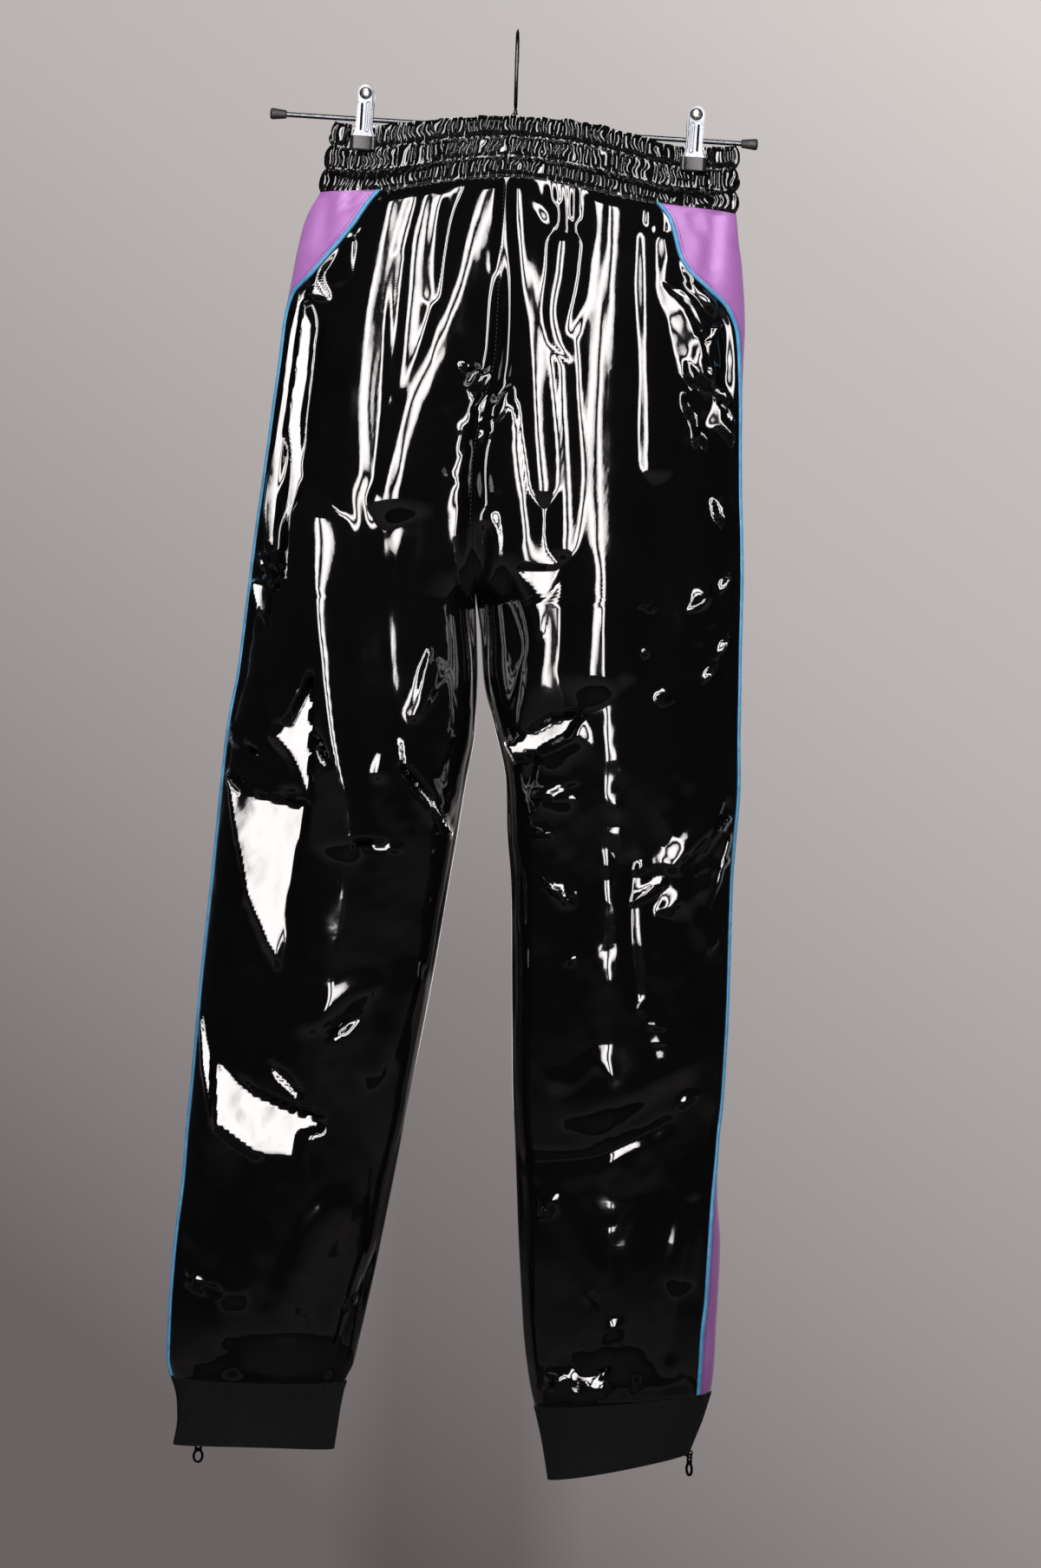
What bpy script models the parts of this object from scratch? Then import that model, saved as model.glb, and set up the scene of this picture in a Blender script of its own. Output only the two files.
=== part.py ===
"""Black PVC jogger trousers hanging from a steel clip hanger.

The cloth is a set of closed panels 1.5 mm thick. Every panel is a loft through rings around one leg
or one half of the hips, worked out from the table of levels below. X is to the right as the
trousers are seen, Z is up, and the back of the trousers faces -Y. The origin is the place where
the hook sits on its rail. The tables are in millimetres, and a point becomes metres when it is placed.
"""
import math

import bmesh
import bpy
import numpy as np
from mathutils import Matrix, Vector

MM = 0.001
GAP = 0.3                    # air between two pieces that meet at a seam
CLOTH = 1.5                  # wall of the panels
BAND_WALL = 2.2              # wall of the elastic waistband
KNIT = 1.8                   # wall of the knitted cuffs

# Outline of the trousers: a row for each level. depth is half the front-to-back size, and the last
# four columns say how far in from the outer side each edge of the side stripe runs.
LEVEL_COLUMNS = ("z", "left_outer", "left_inner", "right_inner", "right_outer", "depth",
                 "left_back", "left_front", "right_back", "right_front")
LEVELS = (
    (-130, -152.3, -5.2, -5.2, 176.4, 14.0, 46.4, 44.0, 62.0, 55.0),
    (-141, -158.8, -5.4, -5.4, 177.8, 18.0, 44.5, 42.0, 54.5, 50.0),
    (-155, -163.9, -5.7, -5.7, 179.3, 22.5, 41.0, 39.0, 51.5, 47.0),
    (-170, -167.3, -6.0, -6.0, 181.7, 27.0, 33.5, 32.0, 50.0, 43.0),
    (-183, -170.0, -6.2, -6.2, 183.0, 30.5, 25.5, 26.0, 44.0, 35.0),
    (-198, -172.5, -6.7, -6.7, 184.3, 34.5, 15.0, 20.0, 29.0, 26.0),
    (-213, -175.0, -7.4, -7.4, 185.4, 38.0, 4.0, 17.0, 14.5, 20.0),
    (-232, -177.2, -7.6, -7.6, 186.2, 42.0, 1.4, 16.0, 7.5, 17.0),
    (-260, -179.3, -8.6, -8.6, 185.6, 46.0, 0.8, 16.0, 4.0, 16.0),
    (-300, -183.5, -16.8, -16.8, 184.8, 50.0, 0.6, 16.0, 1.2, 16.0),
    (-350, -188.6, -23.6, -23.6, 185.6, 54.0, 0.4, 16.0, 0.6, 15.5),
    (-400, -194.0, -23.6, -23.6, 188.6, 58.0, 0.3, 14.5, 1.2, 13.0),
    (-440, -197.7, -20.6, -20.6, 189.7, 60.0, 0.2, 12.5, 1.3, 10.5),
    (-475, -201.0, -18.0, -15.4, 189.8, 60.0, 0.2, 11.5, 1.3, 10.0),
    (-510, -204.5, -16.4, -12.0, 190.3, 60.0, 0.2, 11.0, 1.3, 9.5),
    (-550, -211.0, -17.3, -1.3, 190.8, 59.0, 0.2, 11.0, 1.3, 9.0),
    (-590, -214.6, -23.1, 8.0, 192.0, 57.0, 0.2, 11.0, 1.3, 9.0),
    (-630, -217.4, -28.5, 10.2, 189.6, 54.0, 0.2, 11.5, 0.8, 9.5),
    (-670, -220.3, -34.1, 14.3, 187.7, 51.0, 0.2, 12.0, 0.5, 10.0),
    (-750, -226.5, -45.5, 17.3, 187.8, 47.5, 0.2, 12.5, 0.6, 10.0),
    (-830, -231.4, -58.6, 20.3, 185.7, 45.0, 0.2, 13.0, 0.4, 10.0),
    (-870, -234.2, -64.8, 23.3, 183.5, 43.5, 0.2, 13.5, 1.2, 8.5),
    (-910, -236.3, -71.6, 25.9, 184.8, 42.0, 0.3, 14.0, 5.0, 5.5),
    (-950, -240.4, -78.4, 28.5, 187.8, 41.0, 0.5, 15.0, 9.7, 3.0),
    (-990, -243.3, -85.8, 32.0, 187.5, 39.0, 0.8, 16.0, 10.7, 2.4),
    (-1020, -244.5, -91.4, 35.0, 186.4, 37.0, 1.0, 17.0, 12.0, 1.8),
    (-1050, -244.6, -97.3, 40.5, 185.2, 33.0, 0.8, 18.0, 11.5, 1.5),
    (-1065, -241.2, -103.8, 45.0, 183.6, 29.0, 0.6, 18.5, 10.5, 1.5),
    (-1085, -236.0, -108.0, 51.5, 178.0, 26.0, 0.6, 18.5, 9.0, 1.6),
    (-1100, -235.2, -109.8, 55.0, 172.6, 24.5, 0.6, 18.5, 8.0, 1.8),
    (-1120, -237.8, -111.8, 58.2, 165.2, 24.0, 0.6, 18.5, 7.0, 2.0),
)
LEVEL_TABLE = np.array(LEVELS)

# Levels where the lofts have a ring.
PANEL_LEVELS = (-130, -141, -155, -170, -183, -198, -213, -232, -262, -296, -330, -360, -387, -410,
                -428, -441, -450, -490, -530, -575, -620, -665, -710, -757, -805, -855, -905, -920,
                -960, -1005, -1040, -1065)
CUFF_LEVELS = {"left": (-1065, -1074, -1085, -1096, -1108, -1119),
               "right": (-1065, -1074, -1085, -1095, -1105, -1114)}
RISE_END = -330              # the seam between the legs leaves the back and front here
CROTCH = -450                # and they meet here
HEM = -1065
ZIP_TOP = -905               # above it the front edge of the stripe is piped, below it is zipped

# The waistband's lower seam and its top edge, as height along the width.
WAIST_SEAM = ((-153, -130.5), (-106, -129), (-60, -121), (-1, -114.5), (55, -122), (113, -132.5),
              (178, -138))
WAIST_TOP = ((-142, -74.5), (-128, -76.2), (-108, -76.6), (-85, -73.6), (-40, -69.2), (2, -67.3),
             (45, -69.6), (90, -77.2), (115, -83), (131, -85.6), (153, -85.8), (175, -84.5))
# Half the front-to-back size of the waistband's top edge: flat under the clips and open between them.
TOP_DEPTH = ((-142, 4.4), (-134, 3.6), (-129, 2.7), (-108, 2.7), (-95, 4.8), (-80, 7.4), (-50, 10.8),
             (0, 12), (60, 10.6), (100, 7), (118, 4.4), (131, 2.7), (153, 2.7), (160, 4.2), (175, 4.8))
SIDE_FULLNESS = ((-1130, 0), (-400, 0), (-260, 0.25), (-180, 0.7), (-130, 1.1))
LIFT_END = -232              # the arch of the waist seam fades out down to here
GATHERS = 56                 # gathers round each of the waistband's three channels
CHANNELS = 3
GATHER_HEIGHT = 1.5          # in the middle of a channel
PINCH_HEIGHT = 0.25          # at the rows of stitching between them
GRIP_SHARE = 0.44            # the clips hold this share of the waistband's height
GRIP_HALF = 17.0             # and this far to each side, with no gathers
GRIP_CALM = 0.6              # the gathers start again below this share
BAND_END = 8.0               # length of the waistband's rounded ends
END_CALM = 14.0              # no gathers this near an end

# Drop of the right hem, which tilts: the inner side hangs lower.
RIGHT_DROP = ((-1130, 25), (-1114, 24), (-1065, 15.5), (-1050, 12), (-1020, 7), (-990, 4), (-950, 0),
              (-130, 0))

PIPING_GAP = 3.6             # between the panel and the stripe, for the piping
PIPING_RADIUS = 1.5
PIPING_SIDES = 6
PIPING_SINK = 0.25           # its middle, in from the surface of the cloth
ZIP_GAP = 7.0
ZIP_WIDTH = 6.4
ZIP_WALL = (0.4, -1.2)       # its outer and inner faces, from the surface of the cloth
SLOPE_REACH = 6.0            # a seam's slope is measured this far above and below
STEEPEST = 1.6

# Large folds, as ridges (height > 0) and troughs along straight runs on the photographed side.
FOLD_COLUMNS = ("x0", "z0", "x1", "z1", "width", "height")
BACK_FOLDS = (
    (-142, -185, -160, -250, 11, 4.0), (-160, -250, -172, -400, 10, 4.5),
    (-128, -160, -141, -330, 9, 3.5), (-93, -118, -115, -243, 9, 6.0),
    (-115, -243, -106, -370, 9, 5.0), (-82, -118, -91, -340, 8, 4.0),
    (-62, -116, -73, -250, 9, 6.0), (-73, -250, -90, -365, 9, 4.5),
    (-44, -112, -62, -235, 8, 5.0), (-18, -110, -40, -214, 9, 6.5),
    (-40, -214, -86, -366, 10, 6.0), (2, -112, 14, -220, 8, 5.0), (14, -220, 31, -376, 9, 5.0),
    (34, -114, 37, -226, 8, 5.0), (60, -118, 65, -182, 8, 4.5), (65, -182, 42, -256, 8, 4.5),
    (42, -256, 49, -400, 9, 5.0), (80, -122, 75, -213, 8, 5.0), (75, -213, 78, -355, 10, 6.5),
    (78, -355, 64, -527, 10, 6.0), (100, -124, 111, -330, 9, 5.0),
    (122, -170, 138, -209, 9, 4.0), (138, -209, 172, -290, 10, 4.5),
    (-20, -330, -16, -420, 9, -4.0), (8, -380, 33, -480, 8, 4.5), (33, -480, 18, -568, 8, 5.0),
    (-148, -382, -129, -543, 10, 6.0), (-129, -543, -112, -620, 9, 6.0),
    (-112, -620, -75, -643, 9, 5.0), (-135, -515, -184, -560, 9, 6.0),
    (-208, -590, -152, -613, 10, 5.5), (-190, -640, -168, -730, 12, 4.5),
    (-50, -480, -70, -552, 9, 4.0), (-86, -557, -35, -627, 9, 5.0),
    (60, -529, 20, -571, 8, 5.0), (98, -420, 86, -642, 10, 4.5), (178, -600, 138, -650, 9, 5.5),
    (180, -646, 130, -688, 9, 5.5), (24, -594, 66, -594, 8, 4.0),
    (-222, -780, -210, -858, 12, 5.5), (-210, -858, -150, -885, 12, 5.5),
    (-156, -797, -80, -755, 11, 5.5), (-52, -727, -95, -841, 10, 4.5),
    (184, -792, 118, -822, 11, 6.0), (118, -822, 42, -856, 11, 6.0),
    (-125, -932, -156, -1040, 11, 4.0), (70, -930, 90, -1010, 12, 4.0),
)
# The hidden front has similar folds.
FRONT_FOLDS = (
    (-150, -190, -170, -400, 12, 5.0), (-112, -124, -122, -300, 11, 5.5),
    (-80, -118, -92, -330, 11, 5.5), (-48, -114, -66, -260, 11, 5.5),
    (-20, -110, -60, -350, 11, 5.5), (16, -114, 30, -330, 11, 5.0),
    (48, -118, 50, -360, 11, 5.5), (80, -124, 84, -420, 11, 5.5), (112, -134, 128, -330, 11, 5.0),
    (-140, -420, -118, -600, 12, 5.5), (-118, -600, -70, -640, 12, 5.0),
    (-200, -590, -150, -622, 12, 5.0), (78, -420, 60, -560, 12, 5.5),
    (176, -610, 120, -670, 12, 5.0), (-214, -800, -150, -880, 13, 5.0),
    (-130, -780, -70, -740, 13, 4.5), (170, -800, 50, -850, 13, 5.5), (80, -930, 100, -1020, 13, 4.0),
)
FOLD_TABLES = {face: dict(zip(FOLD_COLUMNS, np.array(folds, dtype=float).T))
               for face, folds in (("back", BACK_FOLDS), ("front", FRONT_FOLDS))}
FOLD_BASE = -2.0             # the cloth between the ridges lies this far inside the outline
SEAM_CALM = 16.0             # a fold fades out this far from a seam
HEM_CALM = 20.0

# Hanger: bar along local X, tilted about the rail.
BAR_CENTRE = Vector((-0.8, 0, -75.6))
BAR_TILT = math.radians(1.98)
BAR_RADIUS = 2.0
BAR_HALF = 190.0
CAP_LENGTH = 12.5
HOOK_RADIUS = 24.0           # to the middle of the wire, round a 42.4 mm rail
WIRE_RADIUS = 1.5
HOOK_FOOT = -60.0
COLLAR_TOP = -66.0
BORE_RADIUS = 2.3            # holes that the bar passes through
CLIP_PLACES = {"left": -118.0, "right": 142.5}
BARREL_RADIUS = 3.6
PLATE = 1.2
JAW_FACE = 3.2               # inner face of the jaw sleeves, from the middle of the cloth

GRIPS = tuple(BAR_CENTRE.x + place for place in CLIP_PLACES.values())

# Colours as linear RGB, with roughness and metallic value.
MATERIALS = {
    "pvc": ((0.006, 0.006, 0.007), 0.08, 0.0),
    "pvc_waist": ((0.008, 0.008, 0.009), 0.14, 0.0),
    "leatherette": ((0.19, 0.075, 0.27), 0.45, 0.0),
    "piping": ((0.16, 0.45, 0.62), 0.5, 0.0),
    "knit": ((0.015, 0.015, 0.016), 0.9, 0.0),
    "zip_tape": ((0.01, 0.01, 0.01), 0.7, 0.0),
    "black_metal": ((0.02, 0.02, 0.02), 0.3, 1.0),
    "chrome": ((0.75, 0.75, 0.76), 0.12, 1.0),
    "black_rubber": ((0.012, 0.012, 0.012), 0.55, 0.0),
    "clear_plastic": ((0.55, 0.5, 0.45), 0.15, 0.0),
}


def clear_scene():
    for old in list(bpy.data.objects):
        bpy.data.objects.remove(old, do_unlink=True)


def material(name):
    found = bpy.data.materials.get(name)
    if found:
        return found
    colour, roughness, metallic = MATERIALS[name]
    made = bpy.data.materials.new(name)
    made.use_nodes = True
    shader = made.node_tree.nodes["Principled BSDF"]
    shader.inputs["Base Color"].default_value = (*colour, 1.0)
    shader.inputs["Roughness"].default_value = roughness
    shader.inputs["Metallic"].default_value = metallic
    made.diffuse_color = (*colour, 1.0)
    return made


def add_object(name, mesh, finish, parent=None):
    mesh.materials.clear()
    mesh.materials.append(material(finish))
    made = bpy.data.objects.new(name, mesh)
    COLLECTION.objects.link(made)
    made.parent = parent
    return made


# ---------------------------------------------------------------- shape of the cloth

def smooth(xs, ys, x):
    """Cubic curve through rising xs, without overshoot."""
    steps = np.diff(xs)
    slopes = np.diff(ys) / steps
    tangents = np.zeros(len(xs))
    for i in range(1, len(xs) - 1):
        before, after = slopes[i - 1], slopes[i]
        if before * after > 0:
            tangents[i] = 2 * before * after / (before + after)
    tangents[0], tangents[-1] = slopes[0], slopes[-1]
    i = int(np.clip(np.searchsorted(xs, x) - 1, 0, len(steps) - 1))
    step = steps[i]
    t = (min(max(x, xs[0]), xs[-1]) - xs[i]) / step
    start = (1 + 2 * t) * (1 - t) ** 2 * ys[i] + t * (1 - t) ** 2 * step * tangents[i]
    end = t * t * (3 - 2 * t) * ys[i + 1] + t * t * (t - 1) * step * tangents[i + 1]
    return start + end


def level(column, z):
    rows = LEVEL_TABLE[::-1]
    return smooth(rows[:, 0], rows[:, LEVEL_COLUMNS.index(column)], z)


def along(pairs, x):
    table = np.array(pairs, dtype=float)
    return smooth(table[:, 0], table[:, 1], x)


def blend(t):
    t = min(max(t, 0.0), 1.0)
    return t * t * (3 - 2 * t)


class Ring:
    """The curve of one leg, or one half of the hips, at one level.

    An angle of 0 is the outer side, positive angles run over the back and negative ones over
    the front. Above the rise the curve ends at the middle seam, a quarter turn away. Below the
    crotch it closes at the inner side, half a turn away.
    """

    def __init__(self, side, z):
        self.side = side
        self.z = z
        self.inward = 1 if side == "left" else -1
        self.outer = level(side + "_outer", z)
        self.inner = level(side + "_inner", z) - self.inward * GAP / 2
        self.depth = level("depth", z)
        self.fullness = along(SIDE_FULLNESS, z)
        turn = min(max((RISE_END - z) / (RISE_END - CROTCH), 0.0), 1.0)
        self.last = math.acos(-turn)
        self.half_width = abs(self.inner - self.outer) / (1 - math.cos(self.last))
        self.drop = along(RIGHT_DROP, z) if side == "right" else 0.0

    def pace(self, angle):
        """Length of curve for one radian, at an angle."""
        across, out = self.tangent(angle)
        return math.hypot(across, out)

    def tangent(self, angle):
        c, s = math.cos(angle), math.sin(angle)
        return self.half_width * s, self.depth * c * (1 + self.fullness * (c * c - 2 * s * s))

    def angle_at(self, inset):
        """Angle of the point this far in from the outer side."""
        return math.acos(1 - inset / self.half_width)

    def place(self, angle, offset=0.0):
        """Point of the curve in millimetres, moved outwards by offset."""
        c, s = math.cos(angle), math.sin(angle)
        across, out = self.tangent(angle)
        length = math.hypot(across, out)
        u = self.half_width * (1 - c) - offset * out / length
        v = self.depth * s * (1 + self.fullness * c * c) + offset * across / length
        x = self.outer + self.inward * u
        span = abs(self.inner - self.outer)
        z = self.z - self.drop * min(max(u / span, 0.0), 1.0)
        if self.z > LIFT_END:
            lift = along(WAIST_SEAM, x) - LEVEL_TABLE[0][0]
            z += lift * (self.z - LIFT_END) / (LEVEL_TABLE[0][0] - LIFT_END)
        return np.array((x, -v, z))


def fold_height(face, point, ring, angle, edges):
    """How far the folds lift the cloth at a point, calm near the seams at both edges."""
    fold = FOLD_TABLES[face]
    x, z = point[0], point[2]
    run_x, run_z = fold["x1"] - fold["x0"], fold["z1"] - fold["z0"]
    share = ((x - fold["x0"]) * run_x + (z - fold["z0"]) * run_z) / (run_x ** 2 + run_z ** 2)
    share = np.clip(share, 0, 1)
    away = np.hypot(x - fold["x0"] - share * run_x, z - fold["z0"] - share * run_z)
    lift = FOLD_BASE + float((fold["height"] * np.exp(-(away / fold["width"]) ** 2)).sum())
    stripe_edge, inner_edge = edges
    pace = ring.pace(angle)
    from_stripe = abs(angle - stripe_edge) * pace
    from_inner = abs(angle - inner_edge) * pace
    calm = blend(from_stripe / SEAM_CALM) * blend(from_inner / SEAM_CALM)
    calm *= blend((z - HEM) / HEM_CALM)
    return lift * calm


def seam_angle(ring, face):
    """Angle of one edge of the side stripe."""
    inset = level(ring.side + "_" + face, ring.z)
    return ring.angle_at(inset)


def seam_half_gap(side, face, z):
    """Half the gap for the piping or the zip, measured along the ring where the seam slopes."""
    width = PIPING_GAP
    if face == "front":
        width += (ZIP_GAP - PIPING_GAP) * blend((ZIP_TOP - z) / 15)
    upper = Ring(side, min(z + SLOPE_REACH, PANEL_LEVELS[0]))
    lower = Ring(side, z - SLOPE_REACH)
    a = upper.place(seam_angle(upper, face))
    b = lower.place(seam_angle(lower, face))
    slide = math.hypot(a[0] - b[0], a[1] - b[1]) / max(abs(a[2] - b[2]), 1e-6)
    return width / 2 * math.sqrt(1 + min(slide, STEEPEST) ** 2)


def waist_gap(point):
    """A point of a panel's top ring, moved down by half the seam's gap."""
    return point - np.array((0, 0, GAP / 2))


# ---------------------------------------------------------------- meshes

def shell(name, outer, inner, closed, finish):
    """Closed wall between two grids of points, each a list of rows with the same columns."""
    bm = bmesh.new()
    grids = []
    for grid in (outer, inner):
        grids.append([[bm.verts.new(Vector(p) * MM) for p in row] for row in grid])
    columns = len(outer[0])
    pairs = [(j, (j + 1) % columns) for j in range(columns if closed else columns - 1)]
    for grid in grids:
        for upper, lower in zip(grid, grid[1:]):
            for j, k in pairs:
                bm.faces.new((upper[j], upper[k], lower[k], lower[j]))
    front, back = grids
    for row in (0, -1):
        for j, k in pairs:
            bm.faces.new((front[row][j], front[row][k], back[row][k], back[row][j]))
    if not closed:
        for column in (0, -1):
            for i in range(len(front) - 1):
                bm.faces.new((front[i][column], front[i + 1][column],
                              back[i + 1][column], back[i][column]))
    return finish_mesh(name, bm, finish)


def loft(name, rings, finish, parent=None):
    """Solid through closed rings of points, capped at both ends."""
    bm = bmesh.new()
    rows = [[bm.verts.new(Vector(p) * MM) for p in ring] for ring in rings]
    for upper, lower in zip(rows, rows[1:]):
        for j in range(len(upper)):
            k = (j + 1) % len(upper)
            bm.faces.new((upper[j], upper[k], lower[k], lower[j]))
    bm.faces.new(rows[0])
    bm.faces.new(rows[-1])
    return finish_mesh(name, bm, finish, parent)


def finish_mesh(name, bm, finish, parent=None):
    bmesh.ops.triangulate(bm, faces=[f for f in bm.faces if len(f.verts) > 4])
    bmesh.ops.recalc_face_normals(bm, faces=bm.faces)
    mesh = bpy.data.meshes.new(name)
    bm.to_mesh(mesh)
    bm.free()
    mesh.shade_smooth()
    mesh.set_sharp_from_angle(angle=math.radians(40))
    return add_object(name, mesh, finish, parent)


# ---------------------------------------------------------------- trousers

def build_panel(side, face, columns):
    """Back or front of one leg, from the side stripe to the middle seam and the inner leg seam."""
    sign = 1 if face == "back" else -1
    outer, inner = [], []
    for z in PANEL_LEVELS:
        ring = Ring(side, z)
        seam = seam_angle(ring, face)
        start = seam + seam_half_gap(side, face, z) / ring.pace(seam)
        end = min(ring.last, math.pi - GAP / 2 / ring.pace(math.pi))
        rows = [], []
        for angle in np.linspace(start, end, columns):
            flat = ring.place(sign * angle)
            lift = fold_height(face, flat, ring, angle, (start, end))
            for row, offset in zip(rows, (lift, lift - CLOTH)):
                point = ring.place(sign * angle, offset)
                row.append(waist_gap(point) if z == PANEL_LEVELS[0] else point)
        outer.append(rows[0])
        inner.append(rows[1])
    shell(face + "_" + side, outer, inner, False, "pvc")


def build_stripe(side, columns):
    """Side stripe between its two piped edges, from the waistband to the cuff."""
    outer, inner = [], []
    for z in PANEL_LEVELS:
        ring = Ring(side, z)
        ends = []
        for face in ("front", "back"):
            seam = seam_angle(ring, face)
            ends.append(seam - seam_half_gap(side, face, z) / ring.pace(seam))
        rows = [], []
        for angle in np.linspace(-ends[0], ends[1], columns):
            for row, offset in zip(rows, (0, -CLOTH)):
                point = ring.place(angle, offset)
                row.append(waist_gap(point) if z == PANEL_LEVELS[0] else point)
        outer.append(rows[0])
        inner.append(rows[1])
    shell("stripe_" + side, outer, inner, False, "leatherette")


def build_piping(side, face):
    """Round piping in the gap between the stripe and the panel beside it."""
    sign = 1 if face == "back" else -1
    rings = []
    for z in PANEL_LEVELS:
        if face == "front" and z < ZIP_TOP:
            continue
        ring = Ring(side, z)
        seam = seam_angle(ring, face)
        reach = PIPING_RADIUS * seam_half_gap(side, face, z) / (PIPING_GAP / 2)
        points = []
        for i in range(PIPING_SIDES):
            turn = math.tau * i / PIPING_SIDES
            angle = sign * (seam + reach * math.cos(turn) / ring.pace(seam))
            offset = PIPING_RADIUS * math.sin(turn) - PIPING_SINK
            point = ring.place(angle, offset)
            points.append(waist_gap(point) if z == PANEL_LEVELS[0] else point)
        rings.append(points)
    loft("piping_" + side + "_" + face, rings, "piping")


def waist_loop(columns):
    """Angles round both halves at the waist seam, evenly spaced along the curve."""
    loop = []
    for side in ("left", "right"):
        ring = Ring(side, PANEL_LEVELS[0])
        fine = np.linspace(-ring.last, ring.last, 721)
        if side == "right":
            fine = fine[::-1]
        lengths = [ring.pace(a) for a in fine]
        travelled = np.concatenate(([0], np.cumsum(np.abs(np.diff(fine)) * lengths[1:])))
        share = (np.arange(columns // 2) + 0.5) / (columns // 2)
        angles = np.interp(share * travelled[-1], travelled, fine)
        loop += [(ring, angle) for angle in angles]
    return loop


def band_end(x, left, right):
    """Closes the flat loop of the waistband's top edge roundly at both ends."""
    near = min(abs(x - left), abs(right - x)) / BAND_END
    return math.sqrt(max(0.0, 1 - (1 - min(near, 1.0)) ** 2))


def build_waistband():
    """Elastic waistband: three gathered channels, flat where the clips grip it."""
    loop = waist_loop(2 * GATHERS)
    low_left = Ring("left", PANEL_LEVELS[0]).outer
    low_right = Ring("right", PANEL_LEVELS[0]).outer
    top_left, top_right = WAIST_TOP[0][0], WAIST_TOP[-1][0]
    rows = 2 * CHANNELS + 1
    outer, inner = [], []
    for i in range(rows):
        down = i / (rows - 1)
        wide = blend((1 - down) / (1 - GRIP_SHARE))
        bulge = GATHER_HEIGHT if i % 2 else PINCH_HEIGHT
        front, back = [], []
        for j, (ring, angle) in enumerate(loop):
            low = ring.place(angle)
            share = (low[0] - low_left) / (low_right - low_left)
            top_x = top_left + share * (top_right - top_left)
            sign = -1 if angle > 0 else 1
            top_depth = along(TOP_DEPTH, top_x)
            top_y = sign * top_depth * band_end(top_x, top_left, top_right)
            x = low[0] + (top_x - low[0]) * (1 - down)
            y = low[1] + (top_y - low[1]) * wide
            z_top = along(WAIST_TOP, top_x)
            z_low = along(WAIST_SEAM, low[0]) + GAP / 2
            z = z_low + (z_top - z_low) * (1 - down)
            gripped = min(abs(top_x - grip) for grip in GRIPS) < GRIP_HALF and down < GRIP_CALM
            at_end = min(abs(x - low_left), abs(low_right - x)) < END_CALM
            calm = gripped or at_end or i in (0, rows - 1) or (i + j) % 2
            front.append((x, y + sign * (0.0 if calm else bulge), z))
            shrink = 1 - 2 * BAND_WALL / (low_right - low_left)
            middle = (low_left + low_right) / 2
            depth = ring.depth + (top_depth - ring.depth) * wide
            x_in = middle + (x - middle) * shrink
            z_in = z + (along(WAIST_SEAM, middle + (low[0] - middle) * shrink)
                        - along(WAIST_SEAM, low[0])) * down
            back.append((x_in, y * (depth - BAND_WALL) / depth, z_in))
        outer.append(front)
        inner.append(back)
    shell("waistband", outer, inner, True, "pvc_waist")


def build_cuff(side, columns):
    """Knitted cuff, open along the zip."""
    outer, inner = [], []
    for z in CUFF_LEVELS[side]:
        ring = Ring(side, z)
        seam = -seam_angle(ring, "front")
        slit = ZIP_GAP / 2 / ring.pace(seam)
        angles = np.linspace(seam + slit, seam - slit + math.tau, columns)
        rows = [], []
        for angle in angles:
            for row, offset in zip(rows, (0, -KNIT)):
                point = ring.place(angle, offset)
                if z == HEM:
                    point = point - np.array((0, 0, GAP))
                row.append(point)
        outer.append(rows[0])
        inner.append(rows[1])
    shell("cuff_" + side, outer, inner, False, "knit")


def build_zip(side):
    """Zip tape and teeth in the slit, from above the cuff to its lower edge."""
    rings = []
    for z in [z for z in PANEL_LEVELS if z < ZIP_TOP - 10] + list(CUFF_LEVELS[side][1:]):
        ring = Ring(side, z)
        seam = seam_angle(ring, "front")
        half = ZIP_WIDTH / 2 / ring.pace(seam)
        out, into = ZIP_WALL
        corners = ((-half, out), (half, out), (half, into), (-half, into))
        rings.append([ring.place(-(seam + turn), offset) for turn, offset in corners])
    loft("zip_" + side, rings, "zip_tape")


# ---------------------------------------------------------------- zip sliders and pull tabs

SLIDER = (6.2, 1.6, 10.0)            # across, thick, along
SLIDER_LIFT = 0.75                   # its inner face, out from the surface of the cuff
SLIDER_RISE = 1.5                    # its middle, above the cuff's lower edge
ARCH_REACH = 2.6                     # half the arch's length
ARCH_HEIGHT = 4.2
ARCH_BEND = 1.2
ARCH_ROOT = 0.6                      # how far its feet sink into the slider
ARCH_RADIUS = 0.65
AXIS_OUT = 1.9                       # pull tab's axis, out from the slider's face
AXIS_DOWN = 2.5                      # and below the slider's middle
NECK_HALF = 2.9
NECK_TOP = 0.8
SLOT = (1.4, -0.8, -5.0)             # half width, top and bottom
RING_CENTRE = -12.0
RING_HALF = (4.5, 5.6)
RING_HOLE = (2.7, 3.7)
TAB_THICK = 1.3


def slider_frame(side):
    """Matrix whose axes run across the zip, into the leg and along the zip."""
    z = CUFF_LEVELS[side][-1] + SLIDER_RISE
    rings = [Ring(side, level_z) for level_z in (z + SLIDER[2] / 2, z, z - SLIDER_RISE)]
    upper, centre, lower = [Vector(r.place(-seam_angle(r, "front"))) for r in rings]
    outward = Vector(rings[1].place(-seam_angle(rings[1], "front"), 1.0)) - centre
    across = Vector((-outward.y, outward.x, 0)).normalized()
    along_zip = upper - lower
    along_zip = (along_zip - across * along_zip.dot(across)).normalized()
    normal = across.cross(along_zip)
    turn = Matrix((across, -normal, along_zip)).transposed()
    centre += normal * (SLIDER_LIFT + SLIDER[1] / 2)
    return Matrix.Translation(centre * MM) @ turn.to_4x4()


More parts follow.
